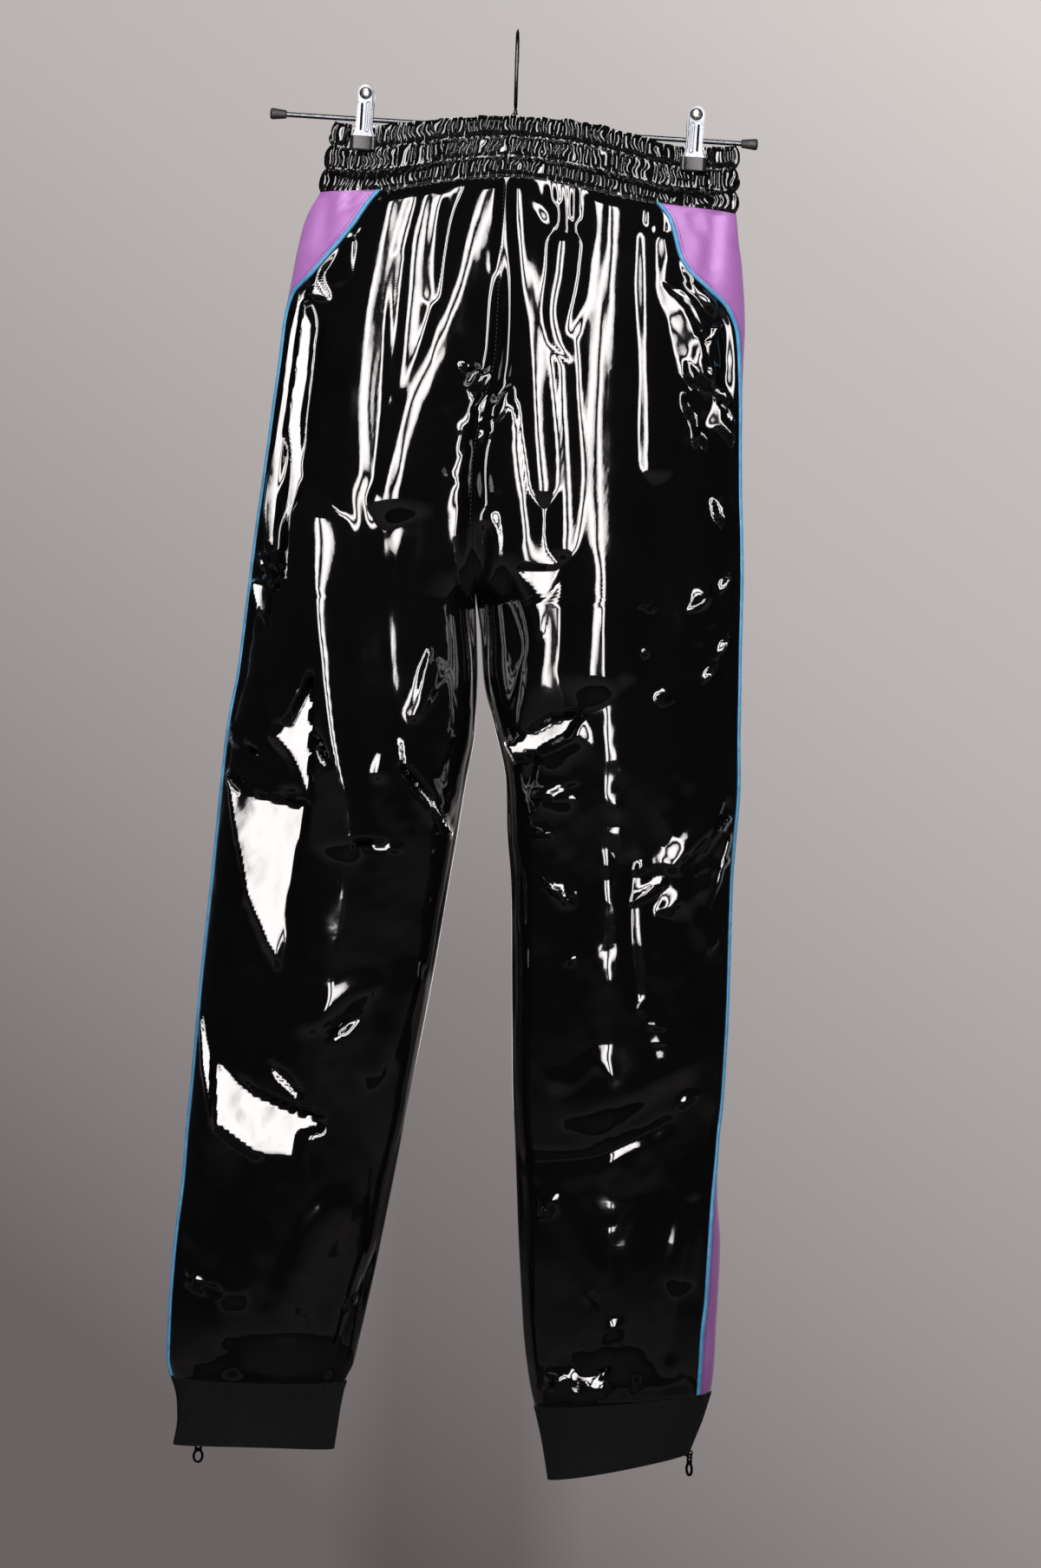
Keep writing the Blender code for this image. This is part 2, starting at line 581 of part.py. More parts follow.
def curve_mesh(name, points, radius, resolution):
    """Round wire through points in millimetres, as a closed mesh."""
    curve = bpy.data.curves.new(name, "CURVE")
    curve.dimensions = "3D"
    curve.bevel_depth = radius * MM
    curve.bevel_resolution = resolution
    curve.use_fill_caps = True
    spline = curve.splines.new("POLY")
    spline.points.add(len(points) - 1)
    for target, point in zip(spline.points, points):
        target.co = (*(Vector(point) * MM), 1.0)
    holder = bpy.data.objects.new(name + "_path", curve)
    COLLECTION.objects.link(holder)
    graph = bpy.context.evaluated_depsgraph_get()
    mesh = bpy.data.meshes.new_from_object(holder.evaluated_get(graph))
    bpy.data.objects.remove(holder, do_unlink=True)
    bm = bmesh.new()
    bm.from_mesh(mesh)
    bmesh.ops.remove_doubles(bm, verts=bm.verts, dist=0.01 * MM)
    bmesh.ops.recalc_face_normals(bm, faces=bm.faces)
    bm.to_mesh(mesh)
    bm.free()
    return mesh


def add_cutter(name, mesh, target, operation):
    """Boolean of a hidden helper with the target."""
    helper = bpy.data.objects.new(name, mesh)
    CUTTERS.objects.link(helper)
    helper.parent = target
    helper.hide_render = True
    helper.display_type = "WIRE"
    modifier = target.modifiers.new(name, "BOOLEAN")
    modifier.operation = operation
    modifier.object = helper


def build_slider(side):
    """Slider with the arch that its pull tab hangs in."""
    bm = bmesh.new()
    bmesh.ops.create_cube(bm, size=1.0)
    bmesh.ops.scale(bm, verts=bm.verts, vec=Vector(SLIDER) * MM)
    bmesh.ops.bevel(bm, geom=bm.edges, offset=0.3 * MM, segments=1, affect="EDGES")
    body = finish_mesh("zip_slider_" + side, bm, "black_metal")
    body.matrix_world = slider_frame(side)
    face = -SLIDER[1] / 2
    half = ((ARCH_ROOT, ARCH_REACH), (ARCH_BEND - ARCH_HEIGHT, ARCH_REACH),
            (-ARCH_HEIGHT, ARCH_REACH - ARCH_BEND))
    arch = [(0, face + out, up - AXIS_DOWN) for out, up in half]
    arch += [(0, face + out, -up - AXIS_DOWN) for out, up in reversed(half)]
    add_cutter("arch_" + side, curve_mesh("arch_" + side, arch, ARCH_RADIUS, 1), body, "UNION")


def pull_axis(side):
    """World point and direction of a pull tab's hinge. A positive turn swings the tab outwards."""
    frame = slider_frame(side)
    point = frame @ Vector((0, -(SLIDER[1] / 2 + AXIS_OUT) * MM, -AXIS_DOWN * MM))
    return point, frame.to_3x3() @ Vector((-1, 0, 0))


def build_pull(side):
    """Flat pull tab with a slot for the arch and an oval ring, hanging straight down."""
    meet = math.acos(NECK_HALF / RING_HALF[0])
    turns = np.linspace(math.pi - meet, math.tau + meet, 25)
    outline = [(-NECK_HALF, NECK_TOP)]
    outline += [(RING_HALF[0] * math.cos(t), RING_CENTRE + RING_HALF[1] * math.sin(t)) for t in turns]
    outline.append((NECK_HALF, NECK_TOP))
    half, top, bottom = SLOT
    slot = [(-half, top), (half, top), (half, bottom), (-half, bottom)]
    hole = [(RING_HOLE[0] * math.cos(t), RING_CENTRE + RING_HOLE[1] * math.sin(t))
            for t in np.linspace(0, math.tau, 19)[:-1]]
    curve = bpy.data.curves.new("zip_pull_" + side, "CURVE")
    curve.dimensions = "2D"
    curve.fill_mode = "BOTH"
    curve.extrude = TAB_THICK / 2 * MM
    for points in (outline, slot, hole):
        spline = curve.splines.new("POLY")
        spline.use_cyclic_u = True
        spline.points.add(len(points) - 1)
        for target, (x, y) in zip(spline.points, points):
            target.co = (x * MM, y * MM, 0, 1)
    curve.materials.append(material("black_metal"))
    tab = bpy.data.objects.new("zip_pull_" + side, curve)
    COLLECTION.objects.link(tab)
    point, direction = pull_axis(side)
    up = Vector((0, 0, 1))
    turn = Matrix((direction, up, direction.cross(up))).transposed()
    tab.matrix_world = Matrix.Translation(point) @ turn.to_4x4()


# ---------------------------------------------------------------- hanger

def turned(name, profile, segments, finish, parent=None):
    """Solid turned about its own Z axis from an open or closed profile of (radius, height)."""
    bm = bmesh.new()
    verts = [bm.verts.new((r * MM, 0, z * MM)) for r, z in profile]
    ends = list(zip(verts, verts[1:]))
    if profile[0][0] > 0:
        ends.append((verts[-1], verts[0]))
    for a, b in ends:
        bm.edges.new((a, b))
    mesh = bpy.data.meshes.new(name)
    bm.to_mesh(mesh)
    bm.free()
    made = add_object(name, mesh, finish, parent)
    screw = made.modifiers.new("turn", "SCREW")
    screw.angle = math.tau
    screw.steps = segments
    screw.render_steps = segments
    screw.use_merge_vertices = True
    screw.merge_threshold = 0.00001
    screw.use_smooth_shade = True
    return made


HOOK_CENTRE = -22.5          # middle of the loop, which lies over the rail
HOOK_SWEEP = math.radians(172)
BARREL_HALF = 4.5
JAW_MIDDLE = 4.6             # the jaw plates, out from the middle of the waistband
SLEEVE_SLACK = 0.35
CAP_PROFILE = ((0, CAP_LENGTH), (3.6, CAP_LENGTH), (4.5, CAP_LENGTH - 1.2), (3.3, 0), (BORE_RADIUS, 0),
               (BORE_RADIUS, CAP_LENGTH - 2), (0, CAP_LENGTH - 2))


def build_hook():
    """Wire hook: up from the collar, round the front of the rail, over it and down behind."""
    foot = [(0, 0, COLLAR_TOP + GAP), (0, 0, HOOK_FOOT)]
    rise = [(0, -HOOK_RADIUS * math.sin(t), HOOK_CENTRE - (HOOK_CENTRE - HOOK_FOOT) * math.cos(t))
            for t in np.linspace(0, math.pi / 2, 9)[1:]]
    loop = [(0, -HOOK_RADIUS * math.cos(t), HOOK_CENTRE + HOOK_RADIUS * math.sin(t))
            for t in np.linspace(0, HOOK_SWEEP, 19)[1:]]
    mesh = curve_mesh("hook", foot + rise + loop, WIRE_RADIUS, 1)
    mesh.shade_smooth()
    mesh.set_sharp_from_angle(angle=math.radians(50))
    add_object("hook", mesh, "chrome")


def lay_along_x(made, x):
    made.location = Vector((x, 0, 0)) * MM
    made.rotation_euler = (0, math.radians(90), 0)


def build_bar(tilt):
    """Bar, the collar that carries it and its two end caps."""
    bpy.ops.mesh.primitive_cylinder_add(vertices=12, radius=BAR_RADIUS * MM, depth=2 * BAR_HALF * MM)
    bar = bpy.context.active_object
    bar.name = "bar"
    bar.data.name = "bar"
    for owner in list(bar.users_collection):
        owner.objects.unlink(bar)
    COLLECTION.objects.link(bar)
    bar.data.materials.append(material("chrome"))
    bar.data.shade_smooth()
    bar.data.set_sharp_from_angle(angle=math.radians(50))
    bar.parent = tilt
    lay_along_x(bar, 0)
    for side, way in (("left", -1), ("right", 1)):
        cap = turned("end_cap_" + side, CAP_PROFILE, 16, "black_rubber", tilt)
        cap.location = Vector((way * (BAR_HALF + GAP - CAP_LENGTH + 2), 0, 0)) * MM
        cap.rotation_euler = (0, way * math.radians(90), 0)
    base = BAR_CENTRE.z
    collar = turned("collar", ((0, COLLAR_TOP - base), (6.9, COLLAR_TOP - base), (7.5, COLLAR_TOP - base - 0.6),
                               (7.5, COLLAR_TOP - base - 3), (4.2, COLLAR_TOP - base - 3), (4.2, -4.6),
                               (0, -4.6)), 20, "chrome", tilt)
    bore = bpy.data.meshes.new("collar_bore")
    bm = bmesh.new()
    bmesh.ops.create_cone(bm, cap_ends=True, segments=12, radius1=BORE_RADIUS * MM,
                          radius2=BORE_RADIUS * MM, depth=20 * MM,
                          matrix=Matrix.Rotation(math.radians(90), 4, "Y"))
    bm.to_mesh(bore)
    bm.free()
    add_cutter("collar_bore", bore, collar, "DIFFERENCE")


# Rows of a clip plate: height from the bar, half width and distance from the middle of the cloth.
PLATE_ROWS = ((26.0, 3.0, 9.6), (24.6, 5.2, 9.2), (22.0, 6.8, 8.5), (8.0, 6.8, 5.2), (2.0, 6.8, 4.6),
              (-6.0, 6.8, 4.6), (-12.0, 8.6, 4.6), (-15.0, 9.6, 4.6), (-23.6, 9.6, 4.6))
SLEEVE_HALF = 10.5
SLEEVE_TOP, SLEEVE_BOTTOM = -13.8, -24.8
SLEEVE_WALL = 0.8


def build_clip(side, tilt):
    """Clip: two plates round a spring on the bar, their jaws in clear sleeves."""
    place = CLIP_PLACES[side]
    barrel_profile = ((BORE_RADIUS, BARREL_HALF), (BARREL_RADIUS, BARREL_HALF), (BARREL_RADIUS, -BARREL_HALF),
                      (BORE_RADIUS, -BARREL_HALF))
    barrel = turned("clip_spring_" + side, barrel_profile, 12, "chrome", tilt)
    lay_along_x(barrel, place)
    for face, way in (("near", -1), ("far", 1)):
        rings = []
        for height, half, away in PLATE_ROWS:
            near, far = way * (away - PLATE / 2), way * (away + PLATE / 2)
            rings.append(((place - half, near, height), (place + half, near, height),
                          (place + half, far, height), (place - half, far, height)))
        loft("clip_plate_" + side + "_" + face, rings, "chrome", tilt)
        inner, slot_in = JAW_FACE, JAW_FACE + SLEEVE_WALL
        slot_out = JAW_MIDDLE + PLATE / 2 + SLEEVE_SLACK
        outer = slot_out + SLEEVE_WALL
        floor = SLEEVE_BOTTOM + SLEEVE_WALL
        section = ((inner, SLEEVE_TOP), (inner, SLEEVE_BOTTOM), (outer, SLEEVE_BOTTOM), (outer, SLEEVE_TOP),
                   (slot_out, SLEEVE_TOP), (slot_out, floor), (slot_in, floor), (slot_in, SLEEVE_TOP))
        rings = [[(place + end * SLEEVE_HALF, way * away, height) for away, height in section]
                 for end in (-1, 1)]
        loft("clip_sleeve_" + side + "_" + face, rings, "clear_plastic", tilt)


def build_hanger():
    tilt = bpy.data.objects.new("hanger_tilt", None)
    COLLECTION.objects.link(tilt)
    tilt.location = BAR_CENTRE * MM
    tilt.rotation_euler = (0, BAR_TILT, 0)
    build_hook()
    build_bar(tilt)
    for side in CLIP_PLACES:
        build_clip(side, tilt)


clear_scene()
COLLECTION = bpy.data.collections.new("pvc_trousers_on_clip_hanger")
CUTTERS = bpy.data.collections.new("cutters")
for group in (COLLECTION, CUTTERS):
    bpy.context.scene.collection.children.link(group)
for part_side in ("left", "right"):
    build_panel(part_side, "back", 17)
    build_panel(part_side, "front", 11)
    build_stripe(part_side, 5)
    build_piping(part_side, "back")
    build_piping(part_side, "front")
    build_cuff(part_side, 25)
    build_zip(part_side)
    build_slider(part_side)
    build_pull(part_side)
build_waistband()
build_hanger()
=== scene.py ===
"""Black PVC jogger trousers on a steel clip hanger: their finished surfaces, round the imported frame.

Shapes are worked out in millimetres, with X to the right, Z up and the photographed back facing -Y,
and become metres when a mesh is made. The cloth follows the same rings as the solids of the frame.
"""
import math

import bpy
import numpy as np
from mathutils import Matrix, Vector


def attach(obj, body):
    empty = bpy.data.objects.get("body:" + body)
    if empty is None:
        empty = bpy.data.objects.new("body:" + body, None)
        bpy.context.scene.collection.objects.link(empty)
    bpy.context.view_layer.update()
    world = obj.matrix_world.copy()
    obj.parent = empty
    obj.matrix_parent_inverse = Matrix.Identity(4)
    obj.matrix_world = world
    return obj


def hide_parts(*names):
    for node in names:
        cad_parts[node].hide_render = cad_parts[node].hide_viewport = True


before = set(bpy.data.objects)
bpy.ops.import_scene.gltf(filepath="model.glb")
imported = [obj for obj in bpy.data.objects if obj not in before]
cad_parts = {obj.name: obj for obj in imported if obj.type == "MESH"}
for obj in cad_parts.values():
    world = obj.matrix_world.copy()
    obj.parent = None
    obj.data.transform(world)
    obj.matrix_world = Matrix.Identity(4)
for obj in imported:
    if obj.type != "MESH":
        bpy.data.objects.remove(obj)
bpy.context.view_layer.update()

MM = 0.001
GAP = 0.3                    # air between two panels at a seam
CLOTH = 1.5                  # wall of the PVC panels and the stripes
BAND_WALL = 2.2              # wall of the elastic waistband
KNIT = 1.8                   # wall of the knitted cuffs

# ---------------------------------------------------------------- outline of the trousers

# depth is half the front-to-back size, and the last four columns say how far in from the outer
# side each edge of the side stripe runs.
LEVEL_COLUMNS = ("z", "left_outer", "left_inner", "right_inner", "right_outer", "depth",
                 "left_back", "left_front", "right_back", "right_front")
LEVELS = (
    (-130, -152.3, -5.2, -5.2, 176.4, 14.0, 46.4, 44.0, 62.0, 55.0),
    (-141, -158.8, -5.4, -5.4, 177.8, 18.0, 44.5, 42.0, 54.5, 50.0),
    (-155, -163.9, -5.7, -5.7, 179.3, 22.5, 41.0, 39.0, 51.5, 47.0),
    (-170, -167.3, -6.0, -6.0, 181.7, 27.0, 33.5, 32.0, 50.0, 43.0),
    (-183, -170.0, -6.2, -6.2, 183.0, 30.5, 25.5, 26.0, 44.0, 35.0),
    (-198, -172.5, -6.7, -6.7, 184.3, 34.5, 15.0, 20.0, 29.0, 26.0),
    (-213, -175.0, -7.4, -7.4, 185.4, 38.0, 4.0, 17.0, 14.5, 20.0),
    (-232, -177.2, -7.6, -7.6, 186.2, 42.0, 1.4, 16.0, 7.5, 17.0),
    (-260, -179.3, -8.6, -8.6, 185.6, 46.0, 0.8, 16.0, 4.0, 16.0),
    (-300, -183.5, -16.8, -16.8, 184.8, 50.0, 0.6, 16.0, 1.2, 16.0),
    (-350, -188.6, -23.6, -23.6, 185.6, 54.0, 0.4, 16.0, 0.6, 15.5),
    (-400, -194.0, -23.6, -23.6, 188.6, 58.0, 0.3, 14.5, 1.2, 13.0),
    (-440, -197.7, -20.6, -20.6, 189.7, 60.0, 0.2, 12.5, 1.3, 10.5),
    (-475, -201.0, -18.0, -15.4, 189.8, 60.0, 0.2, 11.5, 1.3, 10.0),
    (-510, -204.5, -16.4, -12.0, 190.3, 60.0, 0.2, 11.0, 1.3, 9.5),
    (-550, -211.0, -17.3, -1.3, 190.8, 59.0, 0.2, 11.0, 1.3, 9.0),
    (-590, -214.6, -23.1, 8.0, 192.0, 57.0, 0.2, 11.0, 1.3, 9.0),
    (-630, -217.4, -28.5, 10.2, 189.6, 54.0, 0.2, 11.5, 0.8, 9.5),
    (-670, -220.3, -34.1, 14.3, 187.7, 51.0, 0.2, 12.0, 0.5, 10.0),
    (-750, -226.5, -45.5, 17.3, 187.8, 47.5, 0.2, 12.5, 0.6, 10.0),
    (-830, -231.4, -58.6, 20.3, 185.7, 45.0, 0.2, 13.0, 0.4, 10.0),
    (-870, -234.2, -64.8, 23.3, 183.5, 43.5, 0.2, 13.5, 1.2, 8.5),
    (-910, -236.3, -71.6, 25.9, 184.8, 42.0, 0.3, 14.0, 5.0, 5.5),
    (-950, -240.4, -78.4, 28.5, 187.8, 41.0, 0.5, 15.0, 9.7, 3.0),
    (-990, -243.3, -85.8, 32.0, 187.5, 39.0, 0.8, 16.0, 10.7, 2.4),
    (-1020, -244.5, -91.4, 35.0, 186.4, 37.0, 1.0, 17.0, 12.0, 1.8),
    (-1050, -244.6, -97.3, 40.5, 185.2, 33.0, 0.8, 18.0, 11.5, 1.5),
    (-1065, -241.2, -103.8, 45.0, 183.6, 29.0, 0.6, 18.5, 10.5, 1.5),
    (-1085, -236.0, -108.0, 51.5, 178.0, 26.0, 0.6, 18.5, 9.0, 1.6),
    (-1100, -235.2, -109.8, 55.0, 172.6, 24.5, 0.6, 18.5, 8.0, 1.8),
    (-1120, -237.8, -111.8, 58.2, 165.2, 24.0, 0.6, 18.5, 7.0, 2.0),
)
LEVEL_TABLE = np.array(LEVELS)[::-1]

WAIST_TOP_Z = -130           # first ring, at the waistband's seam
RISE_END = -330              # the seam between the legs leaves the back and front here
CROTCH = -450                # and they meet here
HEM = -1065
CUFF_END = {"left": -1119, "right": -1114}
ZIP_TOP = -905               # above it the front edge of the stripe is piped, below it is zipped

# Tables of height or depth along the width, and of the right hem's drop and the hips' fullness by level.
WAIST_SEAM = ((-153, -130.5), (-106, -129), (-60, -121), (-1, -114.5), (55, -122), (113, -132.5),
              (178, -138))
WAIST_TOP = ((-142, -74.5), (-128, -76.2), (-108, -76.6), (-85, -73.6), (-40, -69.2), (2, -67.3),
             (45, -69.6), (90, -77.2), (115, -83), (131, -85.6), (153, -85.8), (175, -84.5))
TOP_DEPTH = ((-142, 4.4), (-134, 3.6), (-129, 2.7), (-108, 2.7), (-95, 4.8), (-80, 7.4), (-50, 10.8),
             (0, 12), (60, 10.6), (100, 7), (118, 4.4), (131, 2.7), (153, 2.7), (160, 4.2), (175, 4.8))
SIDE_FULLNESS = ((-1130, 0), (-400, 0), (-260, 0.25), (-180, 0.7), (-130, 1.1))
RIGHT_DROP = ((-1130, 25), (-1114, 24), (-1065, 15.5), (-1050, 12), (-1020, 7), (-990, 4), (-950, 0),
              (-130, 0))
LIFT_END = -232              # the arch of the waist seam fades out down to here

PIPING_GAP = 3.6             # between the panel and the stripe, for the piping
ZIP_GAP = 7.0
SLOPE_REACH = 6.0            # a seam's slope is measured this far above and below
STEEPEST = 1.6


def smooth(table, x):
    """Cubic curve through a table of rising x and y, without overshoot."""
    xs, ys = np.array(table, dtype=float).T
    steps = np.diff(xs)
    slopes = np.diff(ys) / steps
    before, after = slopes[:-1], slopes[1:]
    same_way = before * after > 0
    tangents = np.concatenate((slopes[:1], np.zeros(len(xs) - 2), slopes[-1:]))
    tangents[1:-1][same_way] = (2 * before * after / np.where(same_way, before + after, 1))[same_way]
    x = np.clip(x, xs[0], xs[-1])
    i = np.clip(np.searchsorted(xs, x) - 1, 0, len(steps) - 1)
    t = (x - xs[i]) / steps[i]
    start = (1 + 2 * t) * (1 - t) ** 2 * ys[i] + t * (1 - t) ** 2 * steps[i] * tangents[i]
    end = t * t * (3 - 2 * t) * ys[i + 1] + t * t * (t - 1) * steps[i] * tangents[i + 1]
    return start + end


def level(column, z):
    """One column of the levels' table at any height."""
    return smooth(LEVEL_TABLE[:, (0, LEVEL_COLUMNS.index(column))], z)


def blend(t):
    """Soft step from 0 to 1."""
    t = np.clip(t, 0.0, 1.0)
    return t * t * (3 - 2 * t)


class Rings:
    """Curves of one leg, or one half of the hips, at an array of levels.

    An angle of 0 is the outer side, positive angles run over the back and negative ones over
    the front. Above the rise the curve ends at the middle seam, a quarter turn away. Below the
    crotch it closes at the inner side, half a turn away.
    """

    def __init__(self, side, z):
        self.side = side
        self.z = np.asarray(z, dtype=float)
        self.inward = 1 if side == "left" else -1
        self.outer = level(side + "_outer", self.z)
        self.inner = level(side + "_inner", self.z) - self.inward * GAP / 2
        self.depth = level("depth", self.z)
        self.fullness = smooth(SIDE_FULLNESS, self.z)
        turn = np.clip((RISE_END - self.z) / (RISE_END - CROTCH), 0.0, 1.0)
        self.last = np.arccos(-turn)
        self.half_width = abs(self.inner - self.outer) / (1 - np.cos(self.last))
        self.drop = smooth(RIGHT_DROP, self.z) if side == "right" else 0.0

    def tangent(self, angle):
        c, s = np.cos(angle), np.sin(angle)
        return self.half_width * s, self.depth * c * (1 + self.fullness * (c * c - 2 * s * s))

    def pace(self, angle):
        """Length of curve for one radian, at an angle."""
        return np.hypot(*self.tangent(angle))

    def seam(self, face):
        """Angle of one edge of the side stripe."""
        return np.arccos(1 - level(self.side + "_" + face, self.z) / self.half_width)

    def place(self, angle, offset=0.0):
        """Points of the curves, moved outwards by offset."""
        c, s = np.cos(angle), np.sin(angle)
        across, out = self.tangent(angle)
        length = np.hypot(across, out)
        u = self.half_width * (1 - c) - offset * out / length
        v = self.depth * s * (1 + self.fullness * c * c) + offset * across / length
        x = self.outer + self.inward * u
        z = self.z - self.drop * np.clip(u / abs(self.inner - self.outer), 0.0, 1.0)
        share = np.clip((self.z - LIFT_END) / (WAIST_TOP_Z - LIFT_END), 0.0, 1.0)
        z = z + (smooth(WAIST_SEAM, x) - WAIST_TOP_Z) * share
        return np.stack(np.broadcast_arrays(x, -v, z), axis=-1)

    def half_gap(self, face):
        """Half the gap for the piping or the zip, measured along the curve where the seam slopes."""
        width = PIPING_GAP
        if face == "front":
            width = PIPING_GAP + (ZIP_GAP - PIPING_GAP) * blend((ZIP_TOP - self.z) / 15)
        ends = []
        for z in (np.minimum(self.z + SLOPE_REACH, WAIST_TOP_Z), self.z - SLOPE_REACH):
            rings = Rings(self.side, z)
            ends.append(rings.place(rings.seam(face)))
        move = ends[0] - ends[1]
        slide = np.hypot(move[..., 0], move[..., 1]) / np.maximum(abs(move[..., 2]), 1e-6)
        return width / 2 * np.sqrt(1 + np.minimum(slide, STEEPEST) ** 2)

    def edge(self, face):
        """Angles of the panel's edge and of the stripe's edge beside a piped or zipped seam."""
        seam = self.seam(face)
        half = self.half_gap(face) / self.pace(seam)
        return seam + half, seam - half


# ---------------------------------------------------------------- meshes

def quads(index):
    """Faces between neighbouring rows and columns of a grid of vertex numbers."""
    return np.stack((index[:-1, :-1], index[:-1, 1:], index[1:, 1:], index[1:, :-1]), axis=-1)


def strip(a, b, c, d):
    """Faces from four rows of vertex numbers."""
    return np.stack((a, b, c, d), axis=-1)


def shell_faces(outer, inner, closed):
    """Faces of a wall between two grids of numbers, open or closed round its columns."""
    faces = [quads(outer).reshape(-1, 4), quads(inner).reshape(-1, 4)[:, ::-1],
             strip(outer[0, 1:], outer[0, :-1], inner[0, :-1], inner[0, 1:]),
             strip(outer[-1, :-1], outer[-1, 1:], inner[-1, 1:], inner[-1, :-1])]
    if not closed:
        faces += [strip(outer[:-1, 0], outer[1:, 0], inner[1:, 0], inner[:-1, 0]),
                  strip(outer[1:, -1], outer[:-1, -1], inner[:-1, -1], inner[1:, -1])]
    return np.concatenate(faces)


def travelled(points, axis):
    """Distance walked along one axis of a grid of points, in metres."""
    steps = np.linalg.norm(np.diff(points, axis=axis), axis=-1)
    start = np.zeros_like(np.take(steps, [0], axis=axis))
    return np.cumsum(np.concatenate((start, steps), axis=axis), axis=axis) * MM


def laid_flat(points):
    """Where each point of a grid lies when the cloth is laid flat, in metres."""
    return np.stack((travelled(points, 1), travelled(points, 0)), axis=-1).reshape(-1, 2)


def add_mesh(name, verts, faces, uv, finish, caps=()):
    """Smooth object from arrays of points, in millimetres, and quads, with its faces outwards."""
    corners = verts[faces]
    twice = np.cross(corners[:, 2] - corners[:, 0], corners[:, 3] - corners[:, 1])
    way = 1 if (corners.mean(axis=1) * twice).sum() > 0 else -1
    uv = uv[:, ::way].reshape(-1, 2)
    mesh = bpy.data.meshes.new(name)
    sides = faces[:, ::way].tolist() + [cap[::way].tolist() for cap in caps]
    mesh.from_pydata((verts * MM).tolist(), [], sides)
    spare = np.zeros((len(mesh.loops) - len(uv), 2))
    mesh.uv_layers.new(name="flat").data.foreach_set("uv", np.concatenate((uv, spare)).ravel())
    mesh.materials.append(finish)
    mesh.shade_smooth()
    made = bpy.data.objects.new(name, mesh)
    bpy.context.scene.collection.objects.link(made)
    return made


def shell(name, outer, inner, finish, closed=False):
    """Closed wall between two grids of points. Its UV map is the cloth laid flat, in metres."""
    rows, columns = outer.shape[:2]
    first = np.arange(rows * columns).reshape(rows, columns)
    wide = np.concatenate((outer, outer[:, :1]), axis=1) if closed else outer
    if closed:
        first = np.hstack((first, first[:, :1]))
    faces = shell_faces(first, first + rows * columns, closed)
    cell = np.arange(wide.shape[0] * wide.shape[1]).reshape(wide.shape[:2])
    verts = np.concatenate((outer.reshape(-1, 3), inner.reshape(-1, 3)))
    made = add_mesh(name, verts, faces, laid_flat(wide)[shell_faces(cell, cell, closed)], finish)
    made.data.set_sharp_from_angle(angle=math.radians(75))
    return made


# ---------------------------------------------------------------- folds

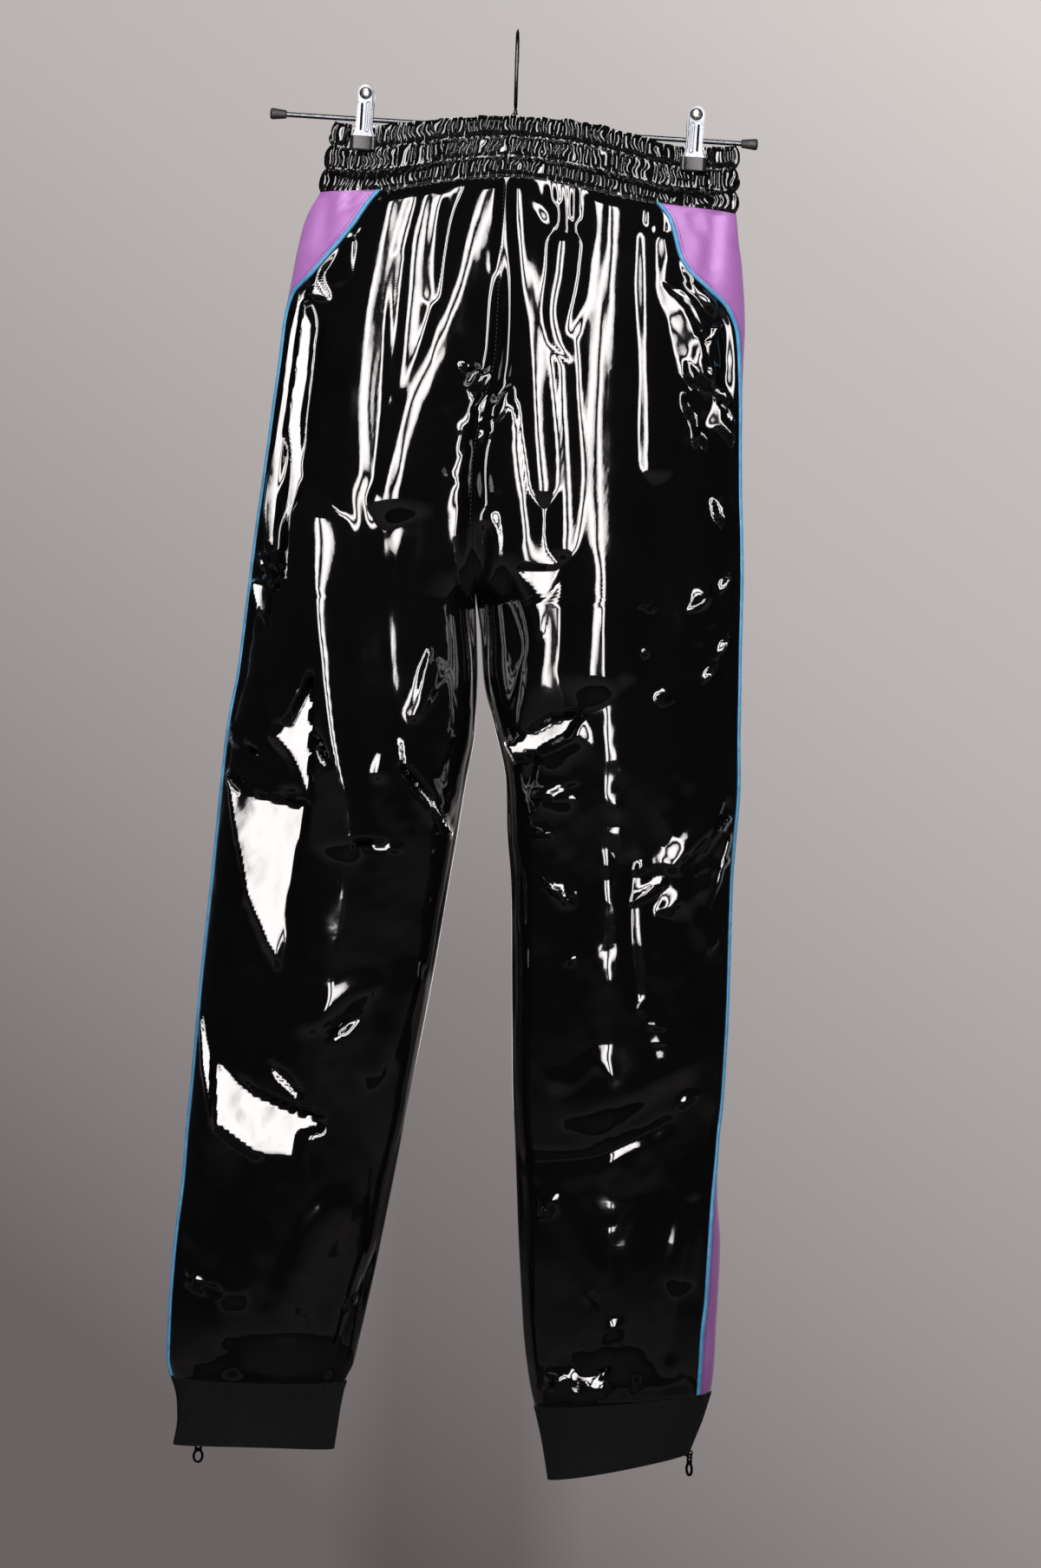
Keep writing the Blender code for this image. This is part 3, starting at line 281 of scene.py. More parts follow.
# Ridges of the photographed back: the crest's path as (x, z), half its width and its height.
BACK_RIDGES = (
    # left hip
    (((-131, -222), (-137, -262), (-143, -317), (-147, -368)), 10, 3.4),
    (((-124, -158), (-125, -190), (-122, -214)), 8, 2.6),
    (((-92, -131), (-102, -187), (-113, -243), (-118, -297), (-116, -350), (-109, -392)), 17, 6.2),
    (((-87, -168), (-90, -209), (-91, -277), (-94, -346), (-101, -388)), 8, 4.4),
    (((-66, -126), (-73, -167), (-76, -225), (-80, -270), (-86, -312)), 13, 5.4),
    (((-47, -123), (-60, -143), (-65, -188), (-61, -232)), 9, 4.6),
    (((-34, -128), (-43, -165), (-41, -190)), 6, 2.4),
    (((-19, -121), (-31, -172), (-40, -214), (-57, -257), (-74, -300), (-90, -366), (-97, -398)),
     16, 6.6),
    (((-17, -128), (-20, -160), (-16, -192), (-10, -205)), 8, 3.2),
    (((-74, -272), (-67, -262), (-58, -245), (-52, -228)), 8, 3.4),
    # right hip
    (((1, -124), (7, -165), (14, -220), (19, -267), (26, -329), (32, -384)), 13, 5.6),
    (((12, -132), (28, -146), (38, -160)), 9, 3.0),
    (((41, -148), (38, -190), (33, -224), (41, -256), (44, -293), (48, -350), (49, -400), (44, -427)),
     11, 5.2),
    (((66, -128), (69, -154), (65, -182), (61, -211), (53, -232), (42, -254)), 10, 4.4),
    (((81, -130), (79, -173), (76, -213), (77, -292), (80, -355), (78, -412), (73, -470), (66, -540)),
     19, 7.0),
    (((101, -142), (103, -176), (105, -218), (108, -272), (113, -330), (113, -362)), 11, 4.6),
    (((92, -136), (94, -190), (93, -232)), 6, 2.4),
    (((124, -146), (121, -186), (122, -204), (138, -216), (152, -246), (160, -280)), 10, 4.2),
    (((133, -192), (150, -206), (164, -224)), 8, 3.0),
    (((57, -200), (60, -290), (62, -380)), 7, 2.2),
    # seat, where the legs meet
    (((-21, -372), (-9, -392), (-4, -415), (-9, -434), (-24, -440)), 8, 4.2),
    (((-31, -290), (-19, -281), (-9, -268)), 7, 3.0),
    (((-34, -312), (-22, -318), (-14, -332)), 6, 2.4),
    (((0, -278), (6, -330), (12, -372), (17, -412), (22, -440)), 11, 4.4),
    (((5, -386), (12, -411), (24, -438), (33, -480), (28, -510), (20, -548), (14, -572)), 12, 4.6),
    # left leg
    (((-149, -368), (-144, -415), (-137, -485), (-129, -543), (-121, -590), (-114, -622), (-105, -665)),
     15, 6.4),
    (((-143, -508), (-155, -532), (-182, -560)), 13, 5.0),
    (((-212, -587), (-198, -592), (-180, -606), (-152, -615)), 12, 5.0),
    (((-46, -490), (-56, -524), (-68, -552)), 6, 2.4),
    (((-84, -556), (-72, -576), (-54, -604), (-32, -629)), 8, 4.6),
    (((-95, -600), (-86, -572), (-80, -560)), 7, 2.6),
    (((-158, -797), (-128, -772), (-94, -752), (-74, -760)), 14, 3.0),
    (((-50, -720), (-70, -780), (-96, -845)), 14, 2.6),
    (((-92, -900), (-124, -936), (-150, -1000), (-155, -1060)), 18, 3.2),
    (((-220, -985), (-196, -992), (-176, -1012)), 13, 4.0),
    (((-104, -990), (-88, -998)), 10, 3.4),
    # right leg
    (((66, -532), (55, -545), (38, -560), (20, -573)), 9, 4.6),
    (((22, -592), (45, -598), (68, -594)), 8, 3.4),
    (((102, -410), (96, -470), (93, -520)), 9, 3.2),
    (((184, -594), (165, -622), (150, -640), (132, -662)), 7, 3.6),
    (((184, -616), (168, -650), (154, -678)), 6, 3.2),
    (((180, -640), (158, -668), (128, -690)), 7, 3.4),
    (((150, -440), (168, -448)), 6, 2.0),
    (((38, -660), (58, -676), (66, -690)), 8, 2.6),
    (((186, -786), (150, -806), (112, -824), (76, -842), (40, -858)), 22, 3.4),
    (((34, -812), (66, -822), (86, -806), (112, -830)), 12, 2.4),
    (((30, -912), (48, -916), (66, -932)), 12, 3.6),
    (((96, -1002), (116, -1022)), 9, 3.2),
    (((176, -905), (160, -950), (152, -1000)), 14, 3.4),
    (((58, -1068), (80, -1060), (104, -1056)), 9, 3.4),
    (((112, -1052), (124, -1058), (132, -1066)), 8, 3.0),
)
# The hidden front hangs in plainer folds.
FRONT_RIDGES = (
    (((-146, -150), (-158, -260), (-168, -400)), 14, 5.0),
    (((-112, -128), (-118, -220), (-126, -330)), 14, 5.6),
    (((-80, -126), (-86, -210), (-94, -340), (-92, -420)), 15, 6.0),
    (((-48, -120), (-58, -190), (-66, -270)), 12, 5.0),
    (((-20, -118), (-38, -230), (-62, -360)), 13, 5.6),
    (((16, -120), (24, -220), (32, -340)), 13, 5.4),
    (((48, -124), (46, -230), (52, -370)), 13, 5.6),
    (((80, -130), (84, -270), (86, -430), (80, -520)), 16, 6.4),
    (((112, -136), (118, -230), (130, -340)), 13, 5.0),
    (((-140, -410), (-128, -510), (-116, -606)), 13, 5.6),
    (((-118, -604), (-94, -640), (-66, -640)), 12, 4.8),
    (((-206, -590), (-176, -600), (-150, -622)), 14, 5.0),
    (((40, -540), (60, -560), (84, -560)), 11, 4.2),
    (((178, -604), (150, -640), (118, -672)), 10, 4.4),
    (((-218, -800), (-190, -860), (-150, -884)), 22, 7.0),
    (((-130, -784), (-98, -758), (-66, -742)), 15, 4.4),
    (((174, -796), (110, -822), (48, -854)), 20, 6.0),
    (((78, -924), (92, -970), (104, -1024)), 15, 4.4),
    (((-120, -930), (-138, -980), (-150, -1050)), 15, 4.4),
)
# Sharp dents: path, half width and depth.
BACK_DENTS = (
    (((-205, -600), (-178, -603), (-150, -604)), 9, 2.6),
    (((-80, -566), (-62, -596), (-38, -628)), 12, 3.0),
    (((48, -552), (30, -566), (22, -590)), 10, 2.6),
    (((110, -640), (108, -700), (116, -760)), 12, 2.6),
    (((184, -600), (170, -640), (140, -690)), 12, 2.4),
    (((20, -660), (24, -700)), 8, 1.6),
    (((-60, -950), (-90, -985), (-118, -1060)), 16, 3.0),
    (((24, -890), (80, -880), (150, -850)), 14, 2.4),
    (((36, -252), (46, -262)), 7, 2.0),
    (((-44, -350), (-24, -362)), 6, 1.6),
    (((150, -1040), (158, -980), (168, -910)), 14, 2.6),
    (((-196, -1030), (-190, -1060)), 12, 2.0),
)
FRONT_DENTS = (
    (((-180, -640), (-120, -660)), 14, 2.6),
    (((40, -880), (120, -870), (160, -850)), 14, 2.4),
)
# Broad swellings and hollows of the photographed side: centre, half sizes and height.
BACK_SWELLS = (
    (-42, -350, 22, 74, -6.0),
    (128, -470, 30, 150, -4.0),
    (60, -640, 60, 50, -3.0),
    (100, -900, 60, 50, -3.0),
    (-150, -300, 16, 90, -2.0),
    (-68, -418, 28, 44, -5.0),
    (-119, -414, 15, 36, 3.4),
)
# Long roof-like creases down the legs: path, reach and slope of their sides.
BACK_ROOFS = (
    (((-152, -350), (-144, -415), (-129, -543), (-113, -640), (-124, -760), (-138, -900), (-146, -1060)),
     52, 0.2),
    (((78, -400), (84, -520), (90, -700), (98, -860), (104, -1062)), 34, 0.17),
)
FRONT_ROOFS = (
    (((-136, -360), (-122, -640), (-138, -900), (-146, -1060)), 34, 0.15),
    (((84, -380), (90, -700), (98, -860), (104, -1062)), 34, 0.15),
)
# Flat places that the cloth's weight pulls taut: corners, how far they face right and up in degrees, and
# how far they stand out.
BACK_FLATS = (
    (((-210, -589), (-198, -602), (-177, -607), (-143, -612), (-152, -663), (-165, -739), (-176, -724),
      (-192, -687)), -1, 4, 1.5),
    (((-143, -514), (-160, -547), (-178, -558), (-162, -573), (-141, -607)), -1.2, 3, 1.5),
    (((-213, -553), (-199, -567), (-185, -573), (-204, -565)), -0.5, 3, 2.0),
    (((-227, -777), (-216, -804), (-205, -859), (-214, -862), (-223, -820)), 0, 9, 1.5),
    (((-213, -816), (-198, -822), (-178, -838), (-154, -845), (-128, -856), (-127, -865), (-144, -868),
      (-147, -887), (-180, -886), (-211, -866)), -1, 9, 0.5),
    (((6, -560), (24, -551), (42, -540), (65, -535), (57, -551), (29, -566), (13, -572)), -5.5, 5, 1.0),
    (((15, -424), (46, -425), (39, -443), (32, -477), (23, -444)), -5.5, 2, 1.0),
    (((-196, -437), (-171, -442), (-180, -448), (-182, -472), (-192, -460)), -0.7, 2, 1.5),
    (((-193, -417), (-184, -423), (-172, -435), (-189, -428)), -0.7, 2, 1.5),
    (((-156, -191), (-152, -194), (-143, -217), (-158, -215)), -1.4, 3, 0.5),
    (((-159, -191), (-160, -220), (-164, -246), (-168, -279), (-171, -301), (-172, -320), (-174, -342),
      (-176, -367), (-177, -413), (-186, -412), (-188, -386), (-186, -359), (-181, -331), (-177, -294),
      (-173, -246), (-165, -204)), -1, 3, 0.5),
    (((-161, -219), (-164, -246), (-167, -279), (-171, -320), (-168, -342), (-170, -389), (-170, -437),
      (-166, -439), (-164, -385), (-160, -367), (-158, -339), (-159, -312), (-155, -275), (-153, -238)),
     9, 3, 0.5),
    (((122, -199), (131, -201), (138, -207), (146, -220), (156, -236), (158, -251), (160, -268),
      (154, -255), (149, -238), (141, -221), (136, -210)), 2, 1, 0.5),
    (((159, -280), (169, -293), (177, -292), (180, -319), (168, -308), (161, -306)), 1.4, 1, 0.5),
    (((159, -268), (164, -279), (176, -285), (174, -288), (164, -284)), 1.4, 1, 0.5),
    (((141, -291), (151, -295), (151, -320), (148, -307)), 1.9, 1, 0.5),
    (((166, -364), (173, -364), (175, -382), (169, -377)), 1.4, 1, 0.5),
    (((53, -1056), (80, -1050), (105, -1044), (90, -1056), (66, -1062)), 3.5, 15, 1.5),
    (((-231, -980), (-216, -984), (-203, -994), (-218, -993)), 0, 12, 1.5),
)
# Small creases that stand out of the crumpled places: x and z of both ends, and half width.
BACK_CREASES = (
    (146, -653, 186, -614, 3.0), (155, -663, 185, -648, 2.2), (109, -682, 133, -666, 2.6),
    (169, -685, 186, -629, 2.6), (111, -655, 120, -652, 2.0), (130, -687, 145, -678, 2.0),
    (112, -759, 120, -763, 2.6), (120, -773, 138, -777, 2.4), (124, -786, 140, -789, 2.2),
    (126, -797, 140, -800, 2.2), (146, -839, 165, -832, 3.4), (168, -718, 178, -711, 2.2),
    (107, -445, 120, -451, 2.2), (148, -453, 165, -442, 2.2), (169, -491, 182, -472, 2.4),
    (112, -485, 118, -486, 1.8), (125, -521, 136, -520, 2.2), (160, -506, 173, -496, 2.0),
    (171, -437, 182, -422, 2.2), (29, -597, 63, -593, 3.2), (39, -665, 63, -679, 3.4),
    (30, -628, 42, -630, 1.8), (60, -728, 68, -724, 1.8), (43, -926, 54, -923, 1.8),
    (-140, -554, -128, -579, 1.8), (-78, -559, -67, -586, 2.6), (-72, -582, -33, -630, 2.4),
    (-108, -639, -73, -644, 2.8), (-64, -533, -52, -488, 2.0), (-122, -792, -99, -775, 3.0),
    (-167, -814, -143, -835, 2.4), (-231, -989, -203, -993, 3.0), (-104, -1002, -95, -997, 1.6),
    (-212, -563, -191, -571, 2.6), (81, -987, 93, -996, 2.0), (52, -1067, 83, -1061, 3.0),
    (71, -1050, 78, -1051, 2.4), (90, -1065, 105, -1055, 3.4), (172, -1059, 177, -1044, 2.0),
    (-36, -266, -24, -269, 2.2), (-29, -283, -15, -274, 4.5), (-25, -313, -18, -290, 4.0),
    (-9, -309, 2, -285, 4.2), (-22, -324, -15, -316, 3.0), (1, -295, 7, -316, 2.2),
    (131, -207, 149, -217, 3.4), (143, -227, 156, -241, 3.0), (150, -241, 167, -227, 3.2),
    (140, -259, 146, -276, 3.0), (162, -276, 174, -283, 3.6), (171, -290, 178, -311, 4.4),
    (152, -308, 159, -322, 3.0), (153, -262, 161, -272, 2.2), (139, -284, 143, -298, 2.0),
)
# Crumpled places: centre, half sizes and depth of their small creases.
BACK_CRUMPLES = (
    (-24, -300, 24, 50, 2.4),
    (-14, -380, 30, 60, 1.5),
    (156, -260, 26, 100, 3.2),
    (160, -430, 34, 120, 2.2),
    (160, -650, 36, 70, 2.2),
    (-190, -470, 16, 120, 1.6),
    (-190, -600, 30, 34, 2.0),
    (-200, -650, 20, 60, 2.4),
    (-190, -850, 20, 34, 0.8),
    (-150, -208, 20, 40, 1.4),
    (-90, -620, 40, 50, 1.0),
    (92, -640, 9, 130, 1.5),
    (40, -620, 40, 60, 1.0),
    (110, -900, 50, 50, 0.9),
    (-180, -860, 50, 40, 0.8),
    (90, -1050, 70, 16, 1.3),
    (-170, -1050, 60, 12, 0.8),
)
CRUMPLED_HIPS = 0.08         # depth of the crumples that are all over the hips
CRUMPLED_LEGS = 0.2          # and how much deeper they are on the legs,
CRUMPLED_FROM = -480.0       # from here down
TAUT_SHARE = 0.65            # share of the crumples that a taut place pulls out
SMOOTH_MAX = 1.3             # how sharply two folds meet, per millimetre
FLOOR = -5.5                 # deepest cloth between the gathered folds of the hips
LEG_FLOOR = -1.6             # and between the creases of the legs
FOLD_SLOPE = 0.5             # steepness of a fold's flanks
CREST = 0.07                 # a fold's rounded crest, per square of its half width
LEAN = 0.4                   # how much steeper one flank may be than the other
CREST_END = 0.45             # share of a crest's roundness that is left at its ends
CREST_RISE = 3.5             # and over how many half widths it grows back
RIDGE_SINK = 1.5             # every fold stands this much lower than its row says
END_DROP = 4.0               # a fold's ends go this far below the surface,
END_FADE = 2.3               # over this many half widths
# Waves of the folds and the cloth: height, and distance apart across and down.
CREST_BEND = (0.15, 90, 70)
HEIGHT_BEND = (0.12, 90, 80)
FLANK_GRAIN = (0.12, 4.2, 70)
SWAY_WIDE = (1.1, 50, 90)
SWAY_SMALL = (0.12, 16, 34)
SWAY_DOWN = (2.0, 30, 40)
FLOOR_WAVE = (0.8, 34, 60)
RIPPLE_HIPS = (0.5, 40, 150)
RIPPLE_LEGS = (0.9, 60, 70)
FINE_NARROW = (0.12, 6.5, 140)
FINE_WIDE = (0.4, 15, 160)
FINE_LEGS = 0.2              # share of the fine waves that is left on the legs
CRUMPLE_WIDE = (1.0, 12, 26)
CRUMPLE_SMALL = (0.45, 7, 13)
SEAT_PULL = 5.0              # how far the middle seam draws the seat in
SEAT_REACH = 30.0
SEAT_TOP = -165.0            # from here down to the crotch
PATH_STEPS = 7               # points in each stretch of a crest's curve
SEAM_CALM = 9.0              # a fold fades out this far from a seam
WAIST_CALM = 13.0
HEM_CALM = 12.0
WAIST_NEAR = -136.0          # a ridge that starts above this comes out of the waistband
WAIST_CARRY = 40.0           # and carries on this far past the seam
ROOF_FADE = 35.0             # a roof-like crease rises to its full height over this length
GATHERED_END = -430.0        # the hips' gathered cloth gives way to the legs' creases from here
GATHERED_FADE = 160.0        # down to this much lower
FLAT_MOST = 34.0             # how far a flat place may stand out from the leg's rounded shape
FLAT_EDGE = (2.5, 3.5)       # a flat place starts this far outside its corners, and is firm after this much
CREASE_RISE = 0.8            # how far a small crease stands out
CREASE_WAIST = (0.4, 0.6)    # where along it the crease is widest, on its two sides
CREASE_TURN = 40             # creases left of this x mirror the left light

# The eye, and the tall light on each side that the cloth mirrors, in metres and degrees.
CAMERA_PLACE = (0.0196, -3.0, -0.5913)
SHINE_BEARING = 10.5
SHINE_AWAY = 2.0
SHINE_LOWEST = -0.35         # the creases mirror the light from this height up,
SHINE_HIGHER = 0.12          # or from this far above themselves where that is higher


class Waves:
    """Smooth random waves between -1 and 1, with fixed seeds."""

    SIZE = 61

    def __init__(self, seed, creased=False):
        self.creased = creased
        self.lattice = np.random.default_rng(seed).uniform(-1, 1, (self.SIZE, self.SIZE))

    def __call__(self, x, z, cell_x, cell_z):
        u, v = x / cell_x + 3 * self.SIZE, z / cell_z + 5 * self.SIZE
        i, j = np.floor(u).astype(int), np.floor(v).astype(int)
        s, t = u - i, v - j
        if not self.creased:
            s, t = s ** 3 * (s * (6 * s - 15) + 10), t ** 3 * (t * (6 * t - 15) + 10)
        i, j, n = i % self.SIZE, j % self.SIZE, self.SIZE
        near = self.lattice[i, j] * (1 - s) + self.lattice[(i + 1) % n, j] * s
        far = self.lattice[i, (j + 1) % n] * (1 - s) + self.lattice[(i + 1) % n, (j + 1) % n] * s
        return near * (1 - t) + far * t

    def scaled(self, row, x, z):
        """Waves of one row: how high they are, and how far apart across and down."""
        amount, cell_x, cell_z = row
        return amount * self(x, z, cell_x, cell_z)


def curved(path, steps=PATH_STEPS):
    """Points along a smooth curve through a path of two or more points."""
    points = np.array(path, dtype=float)
    ends = np.concatenate((points[:1] * 2 - points[1:2], points, points[-1:] * 2 - points[-2:-1]))
    t = np.linspace(0, 1, steps, endpoint=False)[:, None]
    parts = []
    for a, b, c, d in zip(ends, ends[1:], ends[2:], ends[3:]):
        parts.append((2 * b + (c - a) * t + (2 * a - 5 * b + 4 * c - d) * t ** 2
                      + (3 * b - a - 3 * c + d) * t ** 3) / 2)
    return np.concatenate(parts + [points[-1:]])


def beside(path, x, z):
    """Distance from a path, signed distance to one side of it, distance walked to its nearer end and
    distance walked along it."""
    nearest = np.full(x.shape, 1e9)
    walked, hand = np.zeros(x.shape), np.zeros(x.shape)
    points = curved(path)
    runs = np.diff(points, axis=0)
    lengths = np.hypot(runs[:, 0], runs[:, 1])
    done = 0.0
    for (x0, z0), (run_x, run_z), length in zip(points, runs, lengths):
        share = np.clip(((x - x0) * run_x + (z - z0) * run_z) / length ** 2, 0, 1)
        away = np.hypot(x - x0 - share * run_x, z - z0 - share * run_z)
        closer = away < nearest
        nearest = np.where(closer, away, nearest)
        walked = np.where(closer, done + share * length, walked)
        hand = np.where(closer, ((z - z0) * run_x - (x - x0) * run_z) / length, hand)
        done += length
    return nearest, hand, np.minimum(walked, done - walked), walked


def relief(ridges, dents, x, z, floor):
    """Height of a face's folds: rounded crests whose flanks meet in creases, and sharp dents."""
    bend, grain = Waves(11), Waves(13)
    rng = np.random.default_rng(12)
    total = np.exp(SMOOTH_MAX * floor)
    for number, (path, width, height) in enumerate(ridges):
        lean = LEAN * rng.uniform(-1, 1)
        away, reach, from_end, walked = beside(path, x, z)
        slim = CREST_END + (1 - CREST_END) * blend((from_end + 0.5 * width) / (CREST_RISE * width))
        crest = CREST * width ** 2 * slim * (1 + bend.scaled(CREST_BEND, x + 40 * number, z))
        slope = FOLD_SLOPE * (1 + lean * reach / (abs(reach) + 1.0))
        flank = slope * (np.sqrt(away ** 2 + crest ** 2) - crest)
        swell = height * bend.scaled(HEIGHT_BEND, x, z + 70 * number)
        swell = swell + grain.scaled(FLANK_GRAIN, reach + 40 * number, walked)
        end = (height + END_DROP) * (1 - blend((from_end + 0.3 * width) / (END_FADE * width)))
        total += np.exp(SMOOTH_MAX * (height - RIDGE_SINK + swell - flank - end))
    total = np.log(total) / SMOOTH_MAX
    for path, width, depth in dents:
        away, _, from_end, _ = beside(path, x, z)
        total -= depth * np.clip(1 - away / width, 0, None) ** 2 * blend((from_end + 4) / width)
    return total


def roofs(creases, x, z):
    """Height of the roof-like creases."""
    total = np.zeros(x.shape)
    for path, reach, slope in creases:
        away, _, from_end, _ = beside(path, x, z)
        total += slope * (reach - np.minimum(away, reach)) * blend(from_end / ROOF_FADE)
    return total


def within(corners, x, z):
    """How far inside a shape with straight sides each point is, less than 0 outside it."""
    nearest = np.full(x.shape, 1e9)
    inside = np.zeros(x.shape, dtype=bool)
    for (x0, z0), (x1, z1) in zip(corners, corners[1:] + corners[:1]):
        run_x, run_z = x1 - x0, z1 - z0
        share = np.clip(((x - x0) * run_x + (z - z0) * run_z) / (run_x ** 2 + run_z ** 2), 0, 1)
        nearest = np.minimum(nearest, np.hypot(x - x0 - share * run_x, z - z0 - share * run_z))
        if z0 != z1:
            crosses = ((z0 > z) != (z1 > z)) & (x < x0 + (z - z0) / run_z * run_x)
            inside ^= crosses
    return np.where(inside, nearest, -nearest)


def mirrored(x, z):
    """How far right and up a place faces, in degrees, if it mirrors the light on its side to the eye."""
    side = 1 if x > CREASE_TURN else -1
    x, z, bearing = x * MM, z * MM, math.radians(SHINE_BEARING)
    light = math.atan((side * SHINE_AWAY * math.sin(bearing) - x) / (SHINE_AWAY * math.cos(bearing)))
    eye = math.atan((CAMERA_PLACE[0] - x) / -CAMERA_PLACE[1])
    light_up = math.atan((max(SHINE_LOWEST, z + SHINE_HIGHER) - z) / SHINE_AWAY)
    eye_up = math.atan((CAMERA_PLACE[2] - z) / -CAMERA_PLACE[1])
    return round(math.degrees(light + eye) / 2, 1), round(math.degrees(light_up + eye_up) / 2)


def slivers(creases):
    """Creases as flat places: long diamonds between their ends."""
    places = []
    for x0, z0, x1, z1, half in creases:
        ends = np.array(((x0, z0), (x1, z1)), dtype=float)
        run = ends[1] - ends[0]
        out = half * np.array((run[1], -run[0])) / np.hypot(*run)
        near, far = (ends[0] + run * share for share in CREASE_WAIST)
        corners = tuple(map(tuple, (ends[0], near + out, ends[1], far - out)))
        places.append((corners, *mirrored(*ends.mean(axis=0)), CREASE_RISE))
    return tuple(places)


def pulls(places, plain, x, z):
    """How firmly the flat places are held, from 0 to 1, and how far that moves each point along Y."""
    held, moved = np.zeros(x.shape), np.zeros(x.shape)
    for corners, right, up, height in places:
        depth = within(corners, x, z)
        inside = depth > 0
        if inside.any():
            across = np.tan(math.radians(right)) * (x - x[inside].mean())
            along = np.tan(math.radians(up)) * (z - z[inside].mean())
            wanted = plain[inside].mean() + across + along - height
            firm = blend((depth + FLAT_EDGE[0]) / FLAT_EDGE[1])
            moved = moved * (1 - firm) + firm * np.clip(wanted - plain, -FLAT_MOST, FLAT_MOST)
            held = np.maximum(held, firm)
    return held, moved


def crumples(places, x, z):
    """Small flat facets with sharp edges, all over a little and more in some places."""
    amount = CRUMPLED_HIPS + CRUMPLED_LEGS * blend((CRUMPLED_FROM - z) / GATHERED_FADE)
    for centre_x, centre_z, half_x, half_z, depth in places:
        near = ((x - centre_x) / half_x) ** 2 + ((z - centre_z) / half_z) ** 2
        amount = np.maximum(amount, depth * np.exp(-near))
    wide, small = Waves(71, creased=True), Waves(72, creased=True)
    turned, across = 0.8 * x + 0.6 * z, 0.8 * z - 0.6 * x
    return amount * (wide.scaled(CRUMPLE_WIDE, turned, across) + small.scaled(CRUMPLE_SMALL, across, turned))


def swells(places, x, z):
    """Height of the broad swellings and hollows."""
    total = np.zeros(x.shape)
    for centre_x, centre_z, half_x, half_z, height in places:
        near = ((x - centre_x) / half_x) ** 2 + ((z - centre_z) / half_z) ** 2
        total += height * np.exp(-near)
    return total


def from_waist(ridges):
    """Ridges that reach the waistband carry on past its seam, so that they don't fade out before it."""
    longer = []
    for path, width, height in ridges:
        (x, z), (next_x, next_z) = path[0], path[1]
        if z > WAIST_NEAR:
            lean = (x - next_x) / (z - next_z)
            path = ((x + WAIST_CARRY * lean, z + WAIST_CARRY),) + path
        longer.append((path, width, height))
    return tuple(longer)


def waist_pleats(seed):
    """Short ridges that start at the waist seam, between the large ones."""
    rng = np.random.default_rng(seed)
    pleats = []
    x = -140.0
    while x < 165:
        start = float(smooth(WAIST_SEAM, x)) - 2
        length = rng.uniform(14, 52)
        drift = rng.uniform(-0.14, 0.14) - 0.06 * x / 100
        path = ((x, start), (x + drift * length * 0.5, start - length / 2),
                (x + drift * length, start - length))
        pleats.append((path, rng.uniform(4.0, 7.5), rng.uniform(1.2, 3.4)))
        x += rng.uniform(6.0, 12.5)
    return tuple(pleats)


# Sign of each face, its ridges, dents, swells, crumpled places, roofs and flat places.
FACES = {"back": (1, from_waist(BACK_RIDGES + waist_pleats(5)), BACK_DENTS, BACK_SWELLS, BACK_CRUMPLES,
                  BACK_ROOFS, BACK_FLATS + slivers(BACK_CREASES)),
         "front": (-1, from_waist(FRONT_RIDGES + waist_pleats(6)), FRONT_DENTS, (), (), FRONT_ROOFS, ())}


def panel_levels(finest, coarsest):
    """Levels from the waist to the hem, closer together where the cloth is gathered."""
    levels = [float(WAIST_TOP_Z)]
    while levels[-1] > HEM:
        down = (WAIST_TOP_Z - levels[-1]) / 220
        levels.append(levels[-1] - finest - (coarsest - finest) * min(down, 1.0))
    levels[-1] = float(HEM)
    return np.array(levels)


